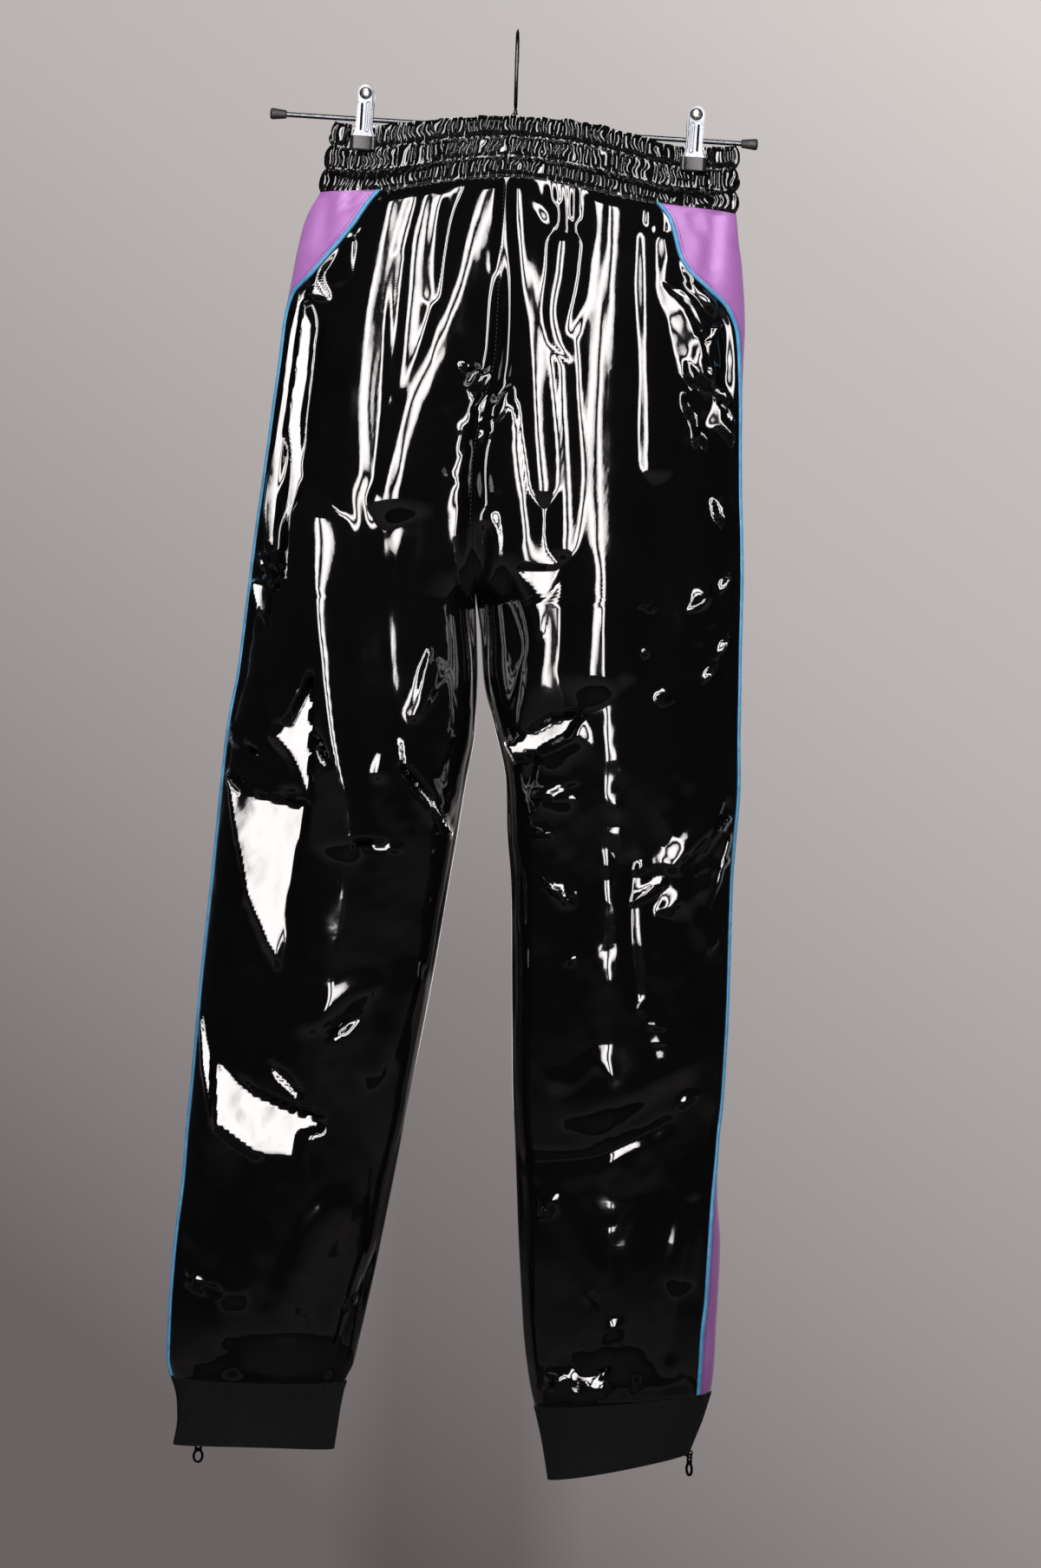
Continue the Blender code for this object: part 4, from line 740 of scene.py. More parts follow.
def build_panel(side, face, columns, levels, finish):
    """Back or front of one leg, from the piping to the middle seam and the inner leg seam."""
    sign, ridges, dents, broad, crumpled, creases, taut = FACES[face]
    ring = Rings(side, levels[:, None])
    start = ring.edge(face)[0]
    end = np.minimum(ring.last, math.pi - GAP / 2 / ring.pace(math.pi))
    angle = start + (end - start) * np.linspace(0, 1, columns)[None, :]
    flat = ring.place(sign * angle)
    x, z = flat[..., 0], flat[..., 2]
    sway, ripple, fine = Waves(21), Waves(22), Waves(23)
    warped_x = x + sway.scaled(SWAY_WIDE, x, z) + sway.scaled(SWAY_SMALL, x, z)
    warped_z = z + sway.scaled(SWAY_DOWN, x + 300, z)
    low = blend((GATHERED_END - z) / GATHERED_FADE)
    floor = FLOOR + (LEG_FLOOR - FLOOR) * low + sway.scaled(FLOOR_WAVE, x, z + 500)
    lift = relief(ridges, dents, warped_x, warped_z, floor)
    seat = blend((SEAT_TOP - z) / 70) * blend((z - CROTCH) / 60)
    lift -= SEAT_PULL * seat * np.exp(-(angle - end) ** 2 * ring.pace(end) ** 2 / SEAT_REACH ** 2)
    held, moved = pulls(taut, flat[..., 1], warped_x, warped_z)
    lift = (lift + roofs(creases, warped_x, z) + swells(broad, x, z)) * (1 - held)
    row = [hips + (legs - hips) * low for hips, legs in zip(RIPPLE_HIPS, RIPPLE_LEGS)]
    lift += ripple.scaled(row, x, z)
    lift += crumples(crumpled, x, z) * (1 - TAUT_SHARE * held)
    lines = fine.scaled(FINE_NARROW, x, z) + fine.scaled(FINE_WIDE, x + 99, z)
    lift += (1 + (FINE_LEGS - 1) * low) * lines
    from_stripe = (angle - start) * ring.pace(start)
    from_inner = (end - angle) * np.maximum(ring.pace(end), 20)
    calm = blend(from_stripe / SEAM_CALM) * blend(from_inner / SEAM_CALM)
    tuck = np.clip((WAIST_TOP_Z - ring.z) / WAIST_CALM, 0, 1)
    calm = calm * tuck * (2 - tuck) * blend((ring.z - HEM) / HEM_CALM)
    shift = np.stack((0 * x, moved * calm, 0 * x), axis=-1)
    outer = ring.place(sign * angle, lift * calm) + shift
    inner = ring.place(sign * angle, lift * calm - CLOTH) + shift
    return shell("pvc_" + face + "_" + side, outer, inner, finish)


def build_stripe(side, columns, levels, finish):
    """Side stripe between its two piped edges, from the waistband to the cuff."""
    ring = Rings(side, levels[:, None])
    front, back = -ring.edge("front")[1], ring.edge("back")[1]
    angle = front + (back - front) * np.linspace(0, 1, columns)[None, :]
    flat = ring.place(angle)
    x, z = flat[..., 0], flat[..., 2]
    lift = Waves(31).scaled(STRIPE_WAVE, x + 4 * angle, z)
    for face_sign, path, width, depth in STRIPE_DENTS[side]:
        away, _, from_end, _ = beside(path, x, z)
        on_face = np.sign(angle) == face_sign
        lift -= on_face * depth * np.exp(-(away / width) ** 2) * blend((from_end + width) / (2 * width))
    from_edge = np.minimum(angle - front, back - angle) * ring.pace(back)
    lift = lift * blend(from_edge / 5) * blend((WAIST_TOP_Z - ring.z) / 4)
    outer = ring.place(angle, lift)
    inner = ring.place(angle, lift - CLOTH)
    return shell("stripe_panel_" + side, outer, inner, finish)


STRIPE_WAVE = (0.5, 14, 40)
# Soft pleats of the stripes under the waistband: face (1 back, -1 front), path, width and depth.
STRIPE_DENTS = {
    "left": ((1, ((-128, -126), (-130, -146)), 3.2, 4.0), (1, ((-146, -128), (-149, -176)), 8.0, 2.6),
             (-1, ((-127, -131), (-129, -150)), 5.0, 2.6)),
    "right": ((1, ((144, -126), (146, -156)), 3.4, 4.6), (1, ((160, -128), (157, -190)), 7.0, 4.6),
              (1, ((131, -150), (137, -172)), 5.0, 2.2), (-1, ((140, -136), (141, -156)), 5.0, 3.0)),
}


# ---------------------------------------------------------------- seams and edges of the cloth

PIPING_RADIUS = 1.75
PIPING_SIDES = 12
PIPING_SINK = 0.1            # its middle, in from the surface of the cloth
PIPING_TALL = 1.15           # how much higher than wide it stands
PIPING_WAVE = (0.12, 7, 7)
STITCH_INSET = 2.2           # stripe's stitching, in from its edge
# Stitches and zip teeth: distance apart, length, width and height, how uneven their lengths are, and the
# seed of that.
SEWN_COLUMNS = ("Pitch", "Length", "Width", "Height", "Uneven", "Seed")
SEWN = {
    "stripe_stitches": (2.8, 1.9, 0.55, 0.4, 0.2, 3),
    "band_stitches": (3.0, 2.16, 0.6, 0.5, 0.25, 4),
    "seam_stitches": (3.4, 2.448, 0.6, 0.5, 0.25, 4),
    "zip_teeth": (2.2, 1.3, 2.4, 1.3, 0.0, 1),
}


def rod(name, grid, finish):
    """Closed rod through rings of points. Its UV map runs round it and along it, in metres."""
    rows, sides = grid.shape[:2]
    index = np.arange(rows * sides).reshape(rows, sides)
    index = np.hstack((index, index[:, :1]))
    cell = np.arange(rows * (sides + 1)).reshape(rows, sides + 1)
    laid = laid_flat(np.concatenate((grid, grid[:, :1]), axis=1))
    return add_mesh(name, grid.reshape(-1, 3), quads(index).reshape(-1, 4),
                    laid[quads(cell).reshape(-1, 4)], finish, caps=(index[0, -2::-1], index[-1, :-1]))


def tube(name, path, radius, sides, finish):
    """Round wire along a path of points in millimetres."""
    path = np.asarray(path, dtype=float)
    along = np.gradient(path, axis=0)
    along /= np.linalg.norm(along, axis=1)[:, None]
    first = np.cross(along[0], (0.37, 0.81, 0.45))
    across = []
    for way in along:
        first = first - way * (first @ way)
        first = first / np.linalg.norm(first)
        across.append(first)
    across = np.array(across)
    other = np.cross(along, across)
    turn = np.linspace(0, math.tau, sides, endpoint=False)[None, :, None]
    radius = np.broadcast_to(np.asarray(radius, dtype=float), (len(path),))[:, None, None]
    ring = across[:, None] * np.cos(turn) + other[:, None] * np.sin(turn)
    return rod(name, path[:, None] + radius * ring, finish)


def build_piping(side, face, levels, finish):
    """Round piping in the gap between the stripe and the panel beside it."""
    sign = 1 if face == "back" else -1
    if face == "front":
        levels = levels[levels >= ZIP_TOP]
    ring = Rings(side, levels[:, None])
    turn = np.linspace(0, math.tau, PIPING_SIDES, endpoint=False)[None, :]
    seam = ring.seam(face)
    reach = PIPING_RADIUS * ring.half_gap(face) / (PIPING_GAP / 2)
    wobble = Waves(41).scaled(PIPING_WAVE, ring.z, 0 * ring.z)
    angle = sign * (seam + reach * np.cos(turn) / ring.pace(seam))
    grid = ring.place(angle, PIPING_RADIUS * np.sin(turn) * PIPING_TALL - PIPING_SINK + wobble)
    return rod("piping_cord_" + side + "_" + face, grid, finish)


# ---------------------------------------------------------------- waistband

CHANNELS = 3
GATHER_PITCH = (3.8, 8.4)
GATHER_HEIGHT = 3.0
PINCH_DEPTH = 0.9
GRIP_SHARE = 0.44            # the clips hold this share of the waistband's height
GRIP_HALF = 10.5
GRIP_CALM = 0.48
BAND_END = 8.0               # length of the waistband's rounded ends
BAND_HEIGHT = 50.0
LOBE_HEIGHTS = (0.55, 1.2)   # lowest and highest lobe, as shares of the gathers' height
# Waves of the waistband: height, and distance apart round it and down.
LOBE_SWAY = (2.6, 8.0, 7.0)
LOBE_LEAN = (1.1, 22, 30)
BAND_WAVE = (0.7, 15, 11)
RUFFLE_WIDE = (0.7, 9, 9)
RUFFLE_SMALL = (0.9, 4.4, 9)


def waist_loop(count):
    """Points round the waist seam, evenly spaced, with the sign of Y that each faces."""
    points, signs = [], []
    for side in ("left", "right"):
        ring = Rings(side, WAIST_TOP_Z)
        fine = np.linspace(-1, 1, 1441) * ring.last * (1 if side == "left" else -1)
        walked = np.concatenate(([0], np.cumsum(np.abs(np.diff(fine)) * ring.pace(fine[1:]))))
        share = (np.arange(count // 2) + 0.5) / (count // 2)
        angle = np.interp(share * walked[-1], walked, fine)
        points.append(ring.place(angle))
        signs.append(np.where(angle > 0, -1.0, 1.0))
    return np.concatenate(points), np.concatenate(signs)


def band_points(low, sign, down, grips):
    """Plain surface of the waistband, and how calm the clips and the ends keep it."""
    low_left, low_right = low[:, 0].min(), low[:, 0].max()
    top_left, top_right = WAIST_TOP[0][0], WAIST_TOP[-1][0]
    share = (low[:, 0] - low_left) / (low_right - low_left)
    top_x = top_left + share * (top_right - top_left)
    near_end = np.clip(np.minimum(top_x - top_left, top_right - top_x) / BAND_END, 0, 1)
    top_y = sign * smooth(TOP_DEPTH, top_x) * np.sqrt(1 - (1 - near_end) ** 2)
    wide = blend((1 - down) / (1 - GRIP_SHARE))
    x = low[:, 0] + (top_x - low[:, 0]) * (1 - down)
    y = low[:, 1] + (top_y - low[:, 1]) * wide
    z_low = smooth(WAIST_SEAM, low[:, 0]) + GAP / 2
    z = z_low + (smooth(WAIST_TOP, top_x) - z_low) * (1 - down)
    gripped = np.ones_like(top_x)
    for grip in grips:
        gripped = gripped * blend((abs(top_x - grip) - GRIP_HALF + 4) / 5)
    calm = 1 - (1 - gripped) * blend((GRIP_CALM - down) / 0.1)
    return np.stack(np.broadcast_arrays(x, y, z), axis=-1), calm


def outwards(points):
    """Horizontal direction out of a closed loop of points, for each row."""
    along = np.roll(points, -1, axis=1) - np.roll(points, 1, axis=1)
    out = np.stack((along[..., 1], -along[..., 0], 0 * along[..., 0]), axis=-1)
    out /= np.linalg.norm(out, axis=-1)[..., None] + 1e-9
    middle = points.mean(axis=1, keepdims=True)
    facing = np.sign((out * (points - middle)).sum(axis=-1).mean())
    return out * facing


def gathers(walked, down, seed):
    """Heights of the elastic's gathers: narrow lobes of uneven width, pinched at each row of stitching."""
    rng = np.random.default_rng(seed)
    edges = np.concatenate(([0], np.cumsum(rng.uniform(*GATHER_PITCH, 400))))
    lobes = np.zeros(np.broadcast_shapes(walked.shape, down.shape))
    sway = Waves(seed + 1)
    for channel in range(CHANNELS):
        inside = np.clip(down * CHANNELS - channel, 0, 1)
        place = walked + sway.scaled(LOBE_SWAY, walked + 200 * channel, down * BAND_HEIGHT)
        place = place + 17.3 * channel + 20 + sway.scaled(LOBE_LEAN, walked, down * BAND_HEIGHT + 300)
        lobe = np.searchsorted(edges, place) - 1
        share = (place - edges[lobe]) / (edges[lobe + 1] - edges[lobe])
        tall = rng.uniform(*LOBE_HEIGHTS, 401)[lobe]
        full = abs(np.sin(math.pi * inside)) ** 0.55
        here = (down * CHANNELS >= channel) & (down * CHANNELS < channel + 1)
        lobes = np.where(here, tall * full * abs(np.sin(math.pi * share)) ** 0.8, lobes)
    return lobes


def build_waistband(columns, rows, grips, finish):
    """Elastic waistband with three gathered channels, flat where the clips grip it."""
    low, sign = waist_loop(columns)
    down = np.linspace(0, 1, rows)[:, None]
    down = down + 0.012 * np.sin(down * CHANNELS * math.tau)
    plain, calm = band_points(low, sign, down, grips)
    walked = travelled(low[None], 1)[0] / MM
    pinched = np.abs(np.cos(math.pi * down * CHANNELS)) ** 6
    lift = GATHER_HEIGHT * gathers(walked[None], down, 51) - PINCH_DEPTH * pinched
    lift = lift + Waves(52).scaled(BAND_WAVE, walked[None], down * BAND_HEIGHT)
    edge = blend(np.minimum(down, 1 - down) / 0.04)
    outer = plain + outwards(plain) * (lift * calm * (0.35 + 0.65 * edge))[..., None]
    ruffle = Waves(53).scaled(RUFFLE_WIDE, walked, down * 0)
    ruffle = (ruffle + Waves(54).scaled(RUFFLE_SMALL, walked[None], down * 0)) * calm
    outer[..., 2] += ruffle * np.maximum(blend(1 - down / 0.12), 0.45 * pinched * (down < 0.9))
    low_left, low_right = low[:, 0].min(), low[:, 0].max()
    middle = (low_left + low_right) / 2
    shrink = 1 - 2 * BAND_WALL / (low_right - low_left)
    depth = np.maximum(abs(plain[..., 1]), 3.0)
    inner = plain.copy()
    inner[..., 0] = middle + (plain[..., 0] - middle) * shrink
    inner[..., 1] *= np.clip(1 - BAND_WALL / depth, 0.15, 1)
    return shell("waistband_gathered", outer, inner, finish, closed=True)


# ---------------------------------------------------------------- cuffs and zips

CUFF_ROWS = 26
CUFF_COLUMNS = 120
RIB_PITCH = 1.9              # real ribs are 1 mm apart; drawn coarser so that they show
RIB_RADIUS = 0.52
CUFF_WAVE = (0.7, 34, 30)    # height, and distance apart round the cuff and down
PUCKERS = 26                 # round the cuff's seam
PUCKER = 0.5
PUCKER_END = 0.16            # share of the cuff's height where they have faded out
CUFF_ARCH = 3.0              # rise of the left cuff's lower edge in its middle
CUFF_ARCH_SPAN = (-174.0, 64.0)  # x of that middle, and half the arch's width
TAPE_HALF = 3.3
TOOTH_ASIDE = 0.75           # middle of a row of teeth, from the middle of the zip
NEAR = (0.0, -1.0, 0.0)      # straight out of the photographed side


def cuff_surface(side, share, count, offset):
    """Points of a cuff at shares of the way round it, from one edge of its zip to the other."""
    levels = np.linspace(HEM, CUFF_END[side], count)
    ring = Rings(side, levels[:, None])
    seam = -ring.seam("front")
    slit = ZIP_GAP / 2 / ring.pace(seam)
    angle = seam + slit + (math.tau - 2 * slit) * share[None, :]
    down = np.linspace(0, 1, count)[:, None]
    soft = Waves(61).scaled(CUFF_WAVE, share[None, :] * 300, down * 55) * blend(down * 3)
    pull = PUCKER * np.sin(share[None, :] * math.tau * PUCKERS) * blend((PUCKER_END - down) / PUCKER_END)
    points = ring.place(angle, offset + soft + pull)
    points[..., 2] -= GAP * (1 - down)
    if side == "left":
        middle, half = CUFF_ARCH_SPAN
        arch = np.clip(1 - ((points[..., 0] - middle) / half) ** 2, 0, 1)
        points[..., 2] += CUFF_ARCH * arch * blend(down)
    return points


def build_cuff(side, finish):
    """Knitted wall of a cuff."""
    share = np.linspace(0, 1, CUFF_COLUMNS)
    outer = cuff_surface(side, share, CUFF_ROWS, 0.0)
    inner = cuff_surface(side, share, CUFF_ROWS, -KNIT)
    return shell("cuff_knit_" + side, outer, inner, finish)


def rib_paths(side):
    """Lines down the cuff, one for each rib."""
    around = float(travelled(cuff_surface(side, np.linspace(0, 1, 200), 2, 0.0), 1)[0, -1]) / MM
    share = (np.arange(int(around / RIB_PITCH)) + 0.5) * RIB_PITCH / around
    grid = cuff_surface(side, share, CUFF_ROWS, 0.05)
    return [(grid[:, column], NEAR) for column in range(grid.shape[1])]


def zip_levels(side):
    """Levels from just above the zip to the cuff's lower edge."""
    return np.concatenate((np.linspace(ZIP_TOP - 4, HEM, 70, endpoint=False),
                           np.linspace(HEM, CUFF_END[side], 20)))


def build_tape(side, finish):
    """Woven tape under the teeth, from above the cuff to its lower edge."""
    ring = Rings(side, zip_levels(side)[:, None])
    seam = ring.seam("front")
    angle = -(seam + TAPE_HALF * np.linspace(-1, 1, 13)[None, :] / ring.pace(seam))
    return shell("zip_tape_" + side, ring.place(angle, -0.3), ring.place(angle, -1.2), finish)


def tooth_path(side, way):
    """Middle line of one row of teeth, and the way its teeth face."""
    ring = Rings(side, zip_levels(side)[:, None])
    seam = ring.seam("front")
    return ring.place(-(seam + way * TOOTH_ASIDE / ring.pace(seam)), 0.25)[:, 0], NEAR


# ---------------------------------------------------------------- node trees

NOISE, WAVE, CELLS = "ShaderNodeTexNoise", "ShaderNodeTexWave", "ShaderNodeTexVoronoi"
RANGE, MIX, MATHS, VECTORS = "ShaderNodeMapRange", "ShaderNodeMix", "ShaderNodeMath", "ShaderNodeVectorMath"
PLACE, TURN, BUMP = "ShaderNodeTexCoord", "ShaderNodeMapping", "ShaderNodeBump"


def add(tree, kind, inputs=(), **settings):
    """Adds a node with its settings, and sets its inputs, by name or in their order, or links them."""
    made = tree.nodes.new(kind)
    for name, value in settings.items():
        setattr(made, name, value)
    for name, value in inputs.items() if isinstance(inputs, dict) else enumerate(inputs):
        if isinstance(value, bpy.types.NodeSocket):
            tree.links.new(value, made.inputs[name])
        else:
            made.inputs[name].default_value = value
    return made


def start_tree(name, sizes):
    """Geometry tree with named inputs, and their sockets."""
    tree = bpy.data.node_groups.new(name, "GeometryNodeTree")
    tree.interface.new_socket("Geometry", in_out="INPUT", socket_type="NodeSocketGeometry")
    for label, kind in sizes:
        tree.interface.new_socket(label, in_out="INPUT", socket_type="NodeSocket" + kind)
    tree.interface.new_socket("Geometry", in_out="OUTPUT", socket_type="NodeSocketGeometry")
    return tree, add(tree, "NodeGroupInput").outputs


def end_tree(tree, geometry, finish):
    """Makes every copy real, gives it its material and sends it out."""
    real = add(tree, "GeometryNodeRealizeInstances", {"Geometry": geometry}).outputs[0]
    smooth_faces = add(tree, "GeometryNodeSetShadeSmooth", {"Geometry": real}).outputs[0]
    named = add(tree, "GeometryNodeSetMaterial", {"Geometry": smooth_faces, "Material": finish}).outputs[0]
    add(tree, "NodeGroupOutput", {"Geometry": named})
    return tree


def repeat_tree(name, unit_kind, unit_sizes):
    """Copies of one small shape set along paths, each turned to its path and to the cloth's face."""
    sizes = (("Pitch", "Float"), ("Length", "Float"), ("Width", "Float"), ("Height", "Float"),
             ("Uneven", "Float"), ("Seed", "Int"), ("Finish", "Material"))
    tree, given = start_tree(name, sizes)
    curve = add(tree, "GeometryNodeMeshToCurve", {"Mesh": given["Geometry"]}).outputs[0]
    points = add(tree, "GeometryNodeResampleCurve", {"Curve": curve, "Length": given["Pitch"]},
                 mode="LENGTH").outputs[0]
    unit = add(tree, unit_kind, unit_sizes).outputs["Mesh"]
    tangent = add(tree, "GeometryNodeInputTangent").outputs[0]
    out = add(tree, "GeometryNodeInputNamedAttribute", {"Name": "out"}, data_type="FLOAT_VECTOR").outputs[0]
    along = add(tree, "FunctionNodeAlignRotationToVector", {"Vector": tangent}, axis="X").outputs[0]
    turned = add(tree, "FunctionNodeAlignRotationToVector", {"Rotation": along, "Vector": out}, axis="Z",
                 pivot_axis="X").outputs[0]
    spread = add(tree, MATHS, (1.0, given["Uneven"]), operation="SUBTRACT").outputs[0]
    uneven = add(tree, "FunctionNodeRandomValue", {"Min": spread, "Max": 1.0, "Seed": given["Seed"]})
    long = add(tree, MATHS, (given["Length"], uneven.outputs["Value"]), operation="MULTIPLY")
    size = add(tree, "ShaderNodeCombineXYZ", (long.outputs[0], given["Width"], given["Height"])).outputs[0]
    copies = add(tree, "GeometryNodeInstanceOnPoints",
                 {"Points": points, "Instance": unit, "Rotation": turned, "Scale": size}).outputs[0]
    return end_tree(tree, copies, given["Finish"])


def cord_tree():
    """Round cords swept along paths."""
    sizes = (("Radius", "Float"), ("Sides", "Int"), ("Finish", "Material"))
    tree, given = start_tree("cords_along_paths", sizes)
    curve = add(tree, "GeometryNodeMeshToCurve", {"Mesh": given["Geometry"]}).outputs[0]
    profile = add(tree, "GeometryNodeCurvePrimitiveCircle",
                  {"Resolution": given["Sides"], "Radius": given["Radius"]}).outputs[0]
    swept = add(tree, "GeometryNodeCurveToMesh",
                {"Curve": curve, "Profile Curve": profile, "Fill Caps": True}).outputs[0]
    return end_tree(tree, swept, given["Finish"])


def sewing(kind, finish):
    """Inputs of the tree that repeats one kind of stitch or tooth, with lengths in metres."""
    values = dict(zip(SEWN_COLUMNS, SEWN[kind]), Finish=finish)
    for label in ("Pitch", "Length", "Width", "Height"):
        values[label] *= MM
    return values


def grow(name, tree, paths, values):
    """Runs a tree on paths and keeps the result as a plain mesh. Each path is its points, in
    millimetres, and the direction out of the cloth at each of them."""
    verts = np.concatenate([points for points, _ in paths]) * MM
    outs = np.concatenate([np.broadcast_to(out, points.shape) for points, out in paths])
    edges, start = [], 0
    for points, _ in paths:
        edges += [(number, number + 1) for number in range(start, start + len(points) - 1)]
        start += len(points)
    mesh = bpy.data.meshes.new(name + "_paths")
    mesh.from_pydata(verts.tolist(), edges, [])
    mesh.attributes.new("out", "FLOAT_VECTOR", "POINT").data.foreach_set("vector", outs.ravel())
    holder = bpy.data.objects.new(name + "_paths", mesh)
    bpy.context.scene.collection.objects.link(holder)
    modifier = holder.modifiers.new("grow", "NODES")
    modifier.node_group = tree
    for socket in tree.interface.items_tree:
        if socket.in_out == "INPUT" and socket.name in values:
            modifier[socket.identifier] = values[socket.name]
    graph = bpy.context.evaluated_depsgraph_get()
    made = bpy.data.objects.new(name, bpy.data.meshes.new_from_object(holder.evaluated_get(graph)))
    bpy.data.objects.remove(holder, do_unlink=True)
    bpy.context.scene.collection.objects.link(made)
    return made


# ---------------------------------------------------------------- materials

WAVE_TURN = math.tau / 20    # scale of a wave pattern whose bands are one metre apart


def linear(value):
    """sRGB hex colour as linear RGBA."""
    channels = [int(value[i:i + 2], 16) / 255 for i in (1, 3, 5)]
    return tuple(c / 12.92 if c <= 0.04045 else ((c + 0.055) / 1.055) ** 2.4 for c in channels) + (1.0,)


def start_material(name, colour, roughness, **sockets):
    """Material with a Principled shader, its tree, the shader's inputs and object coordinates."""
    made = bpy.data.materials.new(name)
    made.use_nodes = True
    tree = made.node_tree
    shader = tree.nodes["Principled BSDF"].inputs
    shader["Base Color"].default_value = linear(colour)
    shader["Roughness"].default_value = roughness
    for label, value in sockets.items():
        shader[label.replace("_", " ")].default_value = value
    made.diffuse_color = linear(colour)
    return made, tree, shader, add(tree, PLACE).outputs["Object"]


def finish_material(tree, shader, tone, dull, height, depth, strength):
    """Links a material's colour, roughness and relief. The relief is this many millimetres deep."""
    relief = add(tree, BUMP, {"Height": height, "Distance": depth * MM, "Strength": strength})
    for name, value in (("Base Color", tone), ("Roughness", dull), ("Normal", relief.outputs[0])):
        if value is not None:
            tree.links.new(value, shader[name])


def pvc_gloss():
    """Calendered PVC film on a knitted backing: near-black and wet-looking, with a mirror's sharp
    reflections that handling has slightly rippled and dulled in places."""
    made, tree, shader, place = start_material("pvc_calendered_gloss", "#070708", 0.06, IOR=1.54,
                                               Coat_Weight=0.6, Coat_Roughness=0.03, Coat_IOR=1.5)
    cloudy = add(tree, NOISE, {"Vector": place, "Scale": 1 / (24 * MM), "Detail": 4}).outputs[0]
    broad = add(tree, NOISE, {"Vector": place, "Scale": 1 / (60 * MM)}).outputs[0]
    ripple = add(tree, NOISE, {"Vector": place, "Scale": 1 / (5.5 * MM), "Detail": 3, "Roughness": 0.45})
    dull = add(tree, RANGE, (cloudy, 0.35, 0.75, 0.045, 0.12)).outputs[0]
    tone = add(tree, MIX, {"Factor": broad, "A": linear("#050506"), "B": linear("#0c0b0d")},
               data_type="RGBA")
    finish_material(tree, shader, tone.outputs["Result"], dull, ripple.outputs[0], 0.12, 0.6)
    return made


def leatherette():
    """PU leatherette, embossed with a fine skin grain: purple with a soft satin sheen, and painted shade in
    the grain's grooves.
    """
    made, tree, shader, place = start_material("pu_leatherette_embossed", "#a264b0", 0.5, IOR=1.45,
                                               Coat_Weight=0.25, Coat_Roughness=0.45, Sheen_Weight=0.35,
                                               Sheen_Roughness=0.35)
    cells = add(tree, CELLS, {"Vector": place, "Scale": 1 / (0.9 * MM)}, feature="DISTANCE_TO_EDGE")
    grain = add(tree, RANGE, (cells.outputs["Distance"], 0.0, 0.12, 0.0, 1.0)).outputs[0]
    worn = add(tree, NOISE, {"Vector": place, "Scale": 1 / (18 * MM), "Detail": 4}).outputs[0]
    tone = add(tree, MIX, {"Factor": worn, "A": linear("#a362b0"), "B": linear("#b87cc5")},
               data_type="RGBA")
    # painted shade: the grain's grooves are darkened towards deep purple
    groove_shade = add(tree, RANGE, (grain, 0.0, 1.0, 0.16, 0.0)).outputs[0]
    tone = add(tree, MIX, {"Factor": groove_shade, "A": tone.outputs["Result"], "B": linear("#5c2f68")},
               data_type="RGBA")
    dull = add(tree, RANGE, (worn, 0.3, 0.7, 0.44, 0.56)).outputs[0]
    finish_material(tree, shader, tone.outputs["Result"], dull, grain, 0.05, 0.5)
    return made


def woven(name, colours, roughness, pitch, sheen):
    """Woven yarn, this many millimetres apart, that crosses at a slant on the piece's own flat map:
    fine dots of light over a darker ground."""
    made, tree, shader, place = start_material(name, colours[1], roughness, IOR=1.45, Sheen_Weight=sheen,
                                               Sheen_Roughness=0.4)
    flat = add(tree, "ShaderNodeUVMap", uv_map="flat").outputs[0]
    turned = add(tree, TURN, {"Vector": flat, "Rotation": (0, 0, math.radians(38))}).outputs[0]
    waves = [add(tree, WAVE, {"Vector": turned, "Scale": WAVE_TURN / (pitch * MM), "Distortion": 0.6,
                              "Detail": 1.0, "Detail Scale": 2.0}, bands_direction=way).outputs["Fac"]
             for way in ("X", "Y")]
    yarn = add(tree, MATHS, waves, operation="MULTIPLY").outputs[0]
    worn = add(tree, NOISE, {"Vector": place, "Scale": 1 / (9 * MM), "Detail": 4}).outputs[0]
    tone = None
    for share, high, top, colour in ((yarn, (0.0, 0.7), 1.0, colours[1]),
                                     (worn, (0.35, 0.7), 0.5, colours[2])):
        share = add(tree, RANGE, (share, *high, 0.0, top)).outputs[0]
        tone = add(tree, MIX, {"Factor": share, "A": tone or linear(colours[0]), "B": linear(colour)},
                   data_type="RGBA").outputs["Result"]
    finish_material(tree, shader, tone, None, yarn, 0.12, 0.8)
    return made


def rib_knit(name, colours):
    """Cotton rib knit: matt charcoal, with a faint bloom of fibre ends over its loops and painted shade
    between them.
    """
    made, tree, shader, place = start_material(name, colours[1], 0.88, IOR=1.2, Sheen_Weight=0.05,
                                               Sheen_Roughness=0.5)
    stretched = add(tree, TURN, {"Vector": place, "Scale": (1, 1, 0.45)}).outputs[0]
    fibres = add(tree, NOISE, {"Vector": stretched, "Scale": 1 / (0.7 * MM), "Detail": 3, "Roughness": 0.6})
    fibres = fibres.outputs[0]
    loops = add(tree, WAVE, {"Vector": place, "Scale": WAVE_TURN / (1.5 * MM), "Distortion": 1.6,
                             "Detail": 2.0, "Detail Scale": 3.0}, bands_direction="Z").outputs["Fac"]
    tone = add(tree, MIX, {"Factor": fibres, "A": linear(colours[0]), "B": linear(colours[2])},
               data_type="RGBA").outputs["Result"]
    # painted shade: the hollows between the knit's loops are darkened
    between = add(tree, RANGE, (loops, 0.0, 1.0, 0.45, 0.0)).outputs[0]
    tone = add(tree, MIX, {"Factor": between, "A": tone, "B": linear(colours[0])}, data_type="RGBA")
    height = add(tree, MATHS, (loops, fibres), operation="ADD").outputs[0]
    finish_material(tree, shader, tone.outputs["Result"], None, height, 0.16, 0.8)
    return made


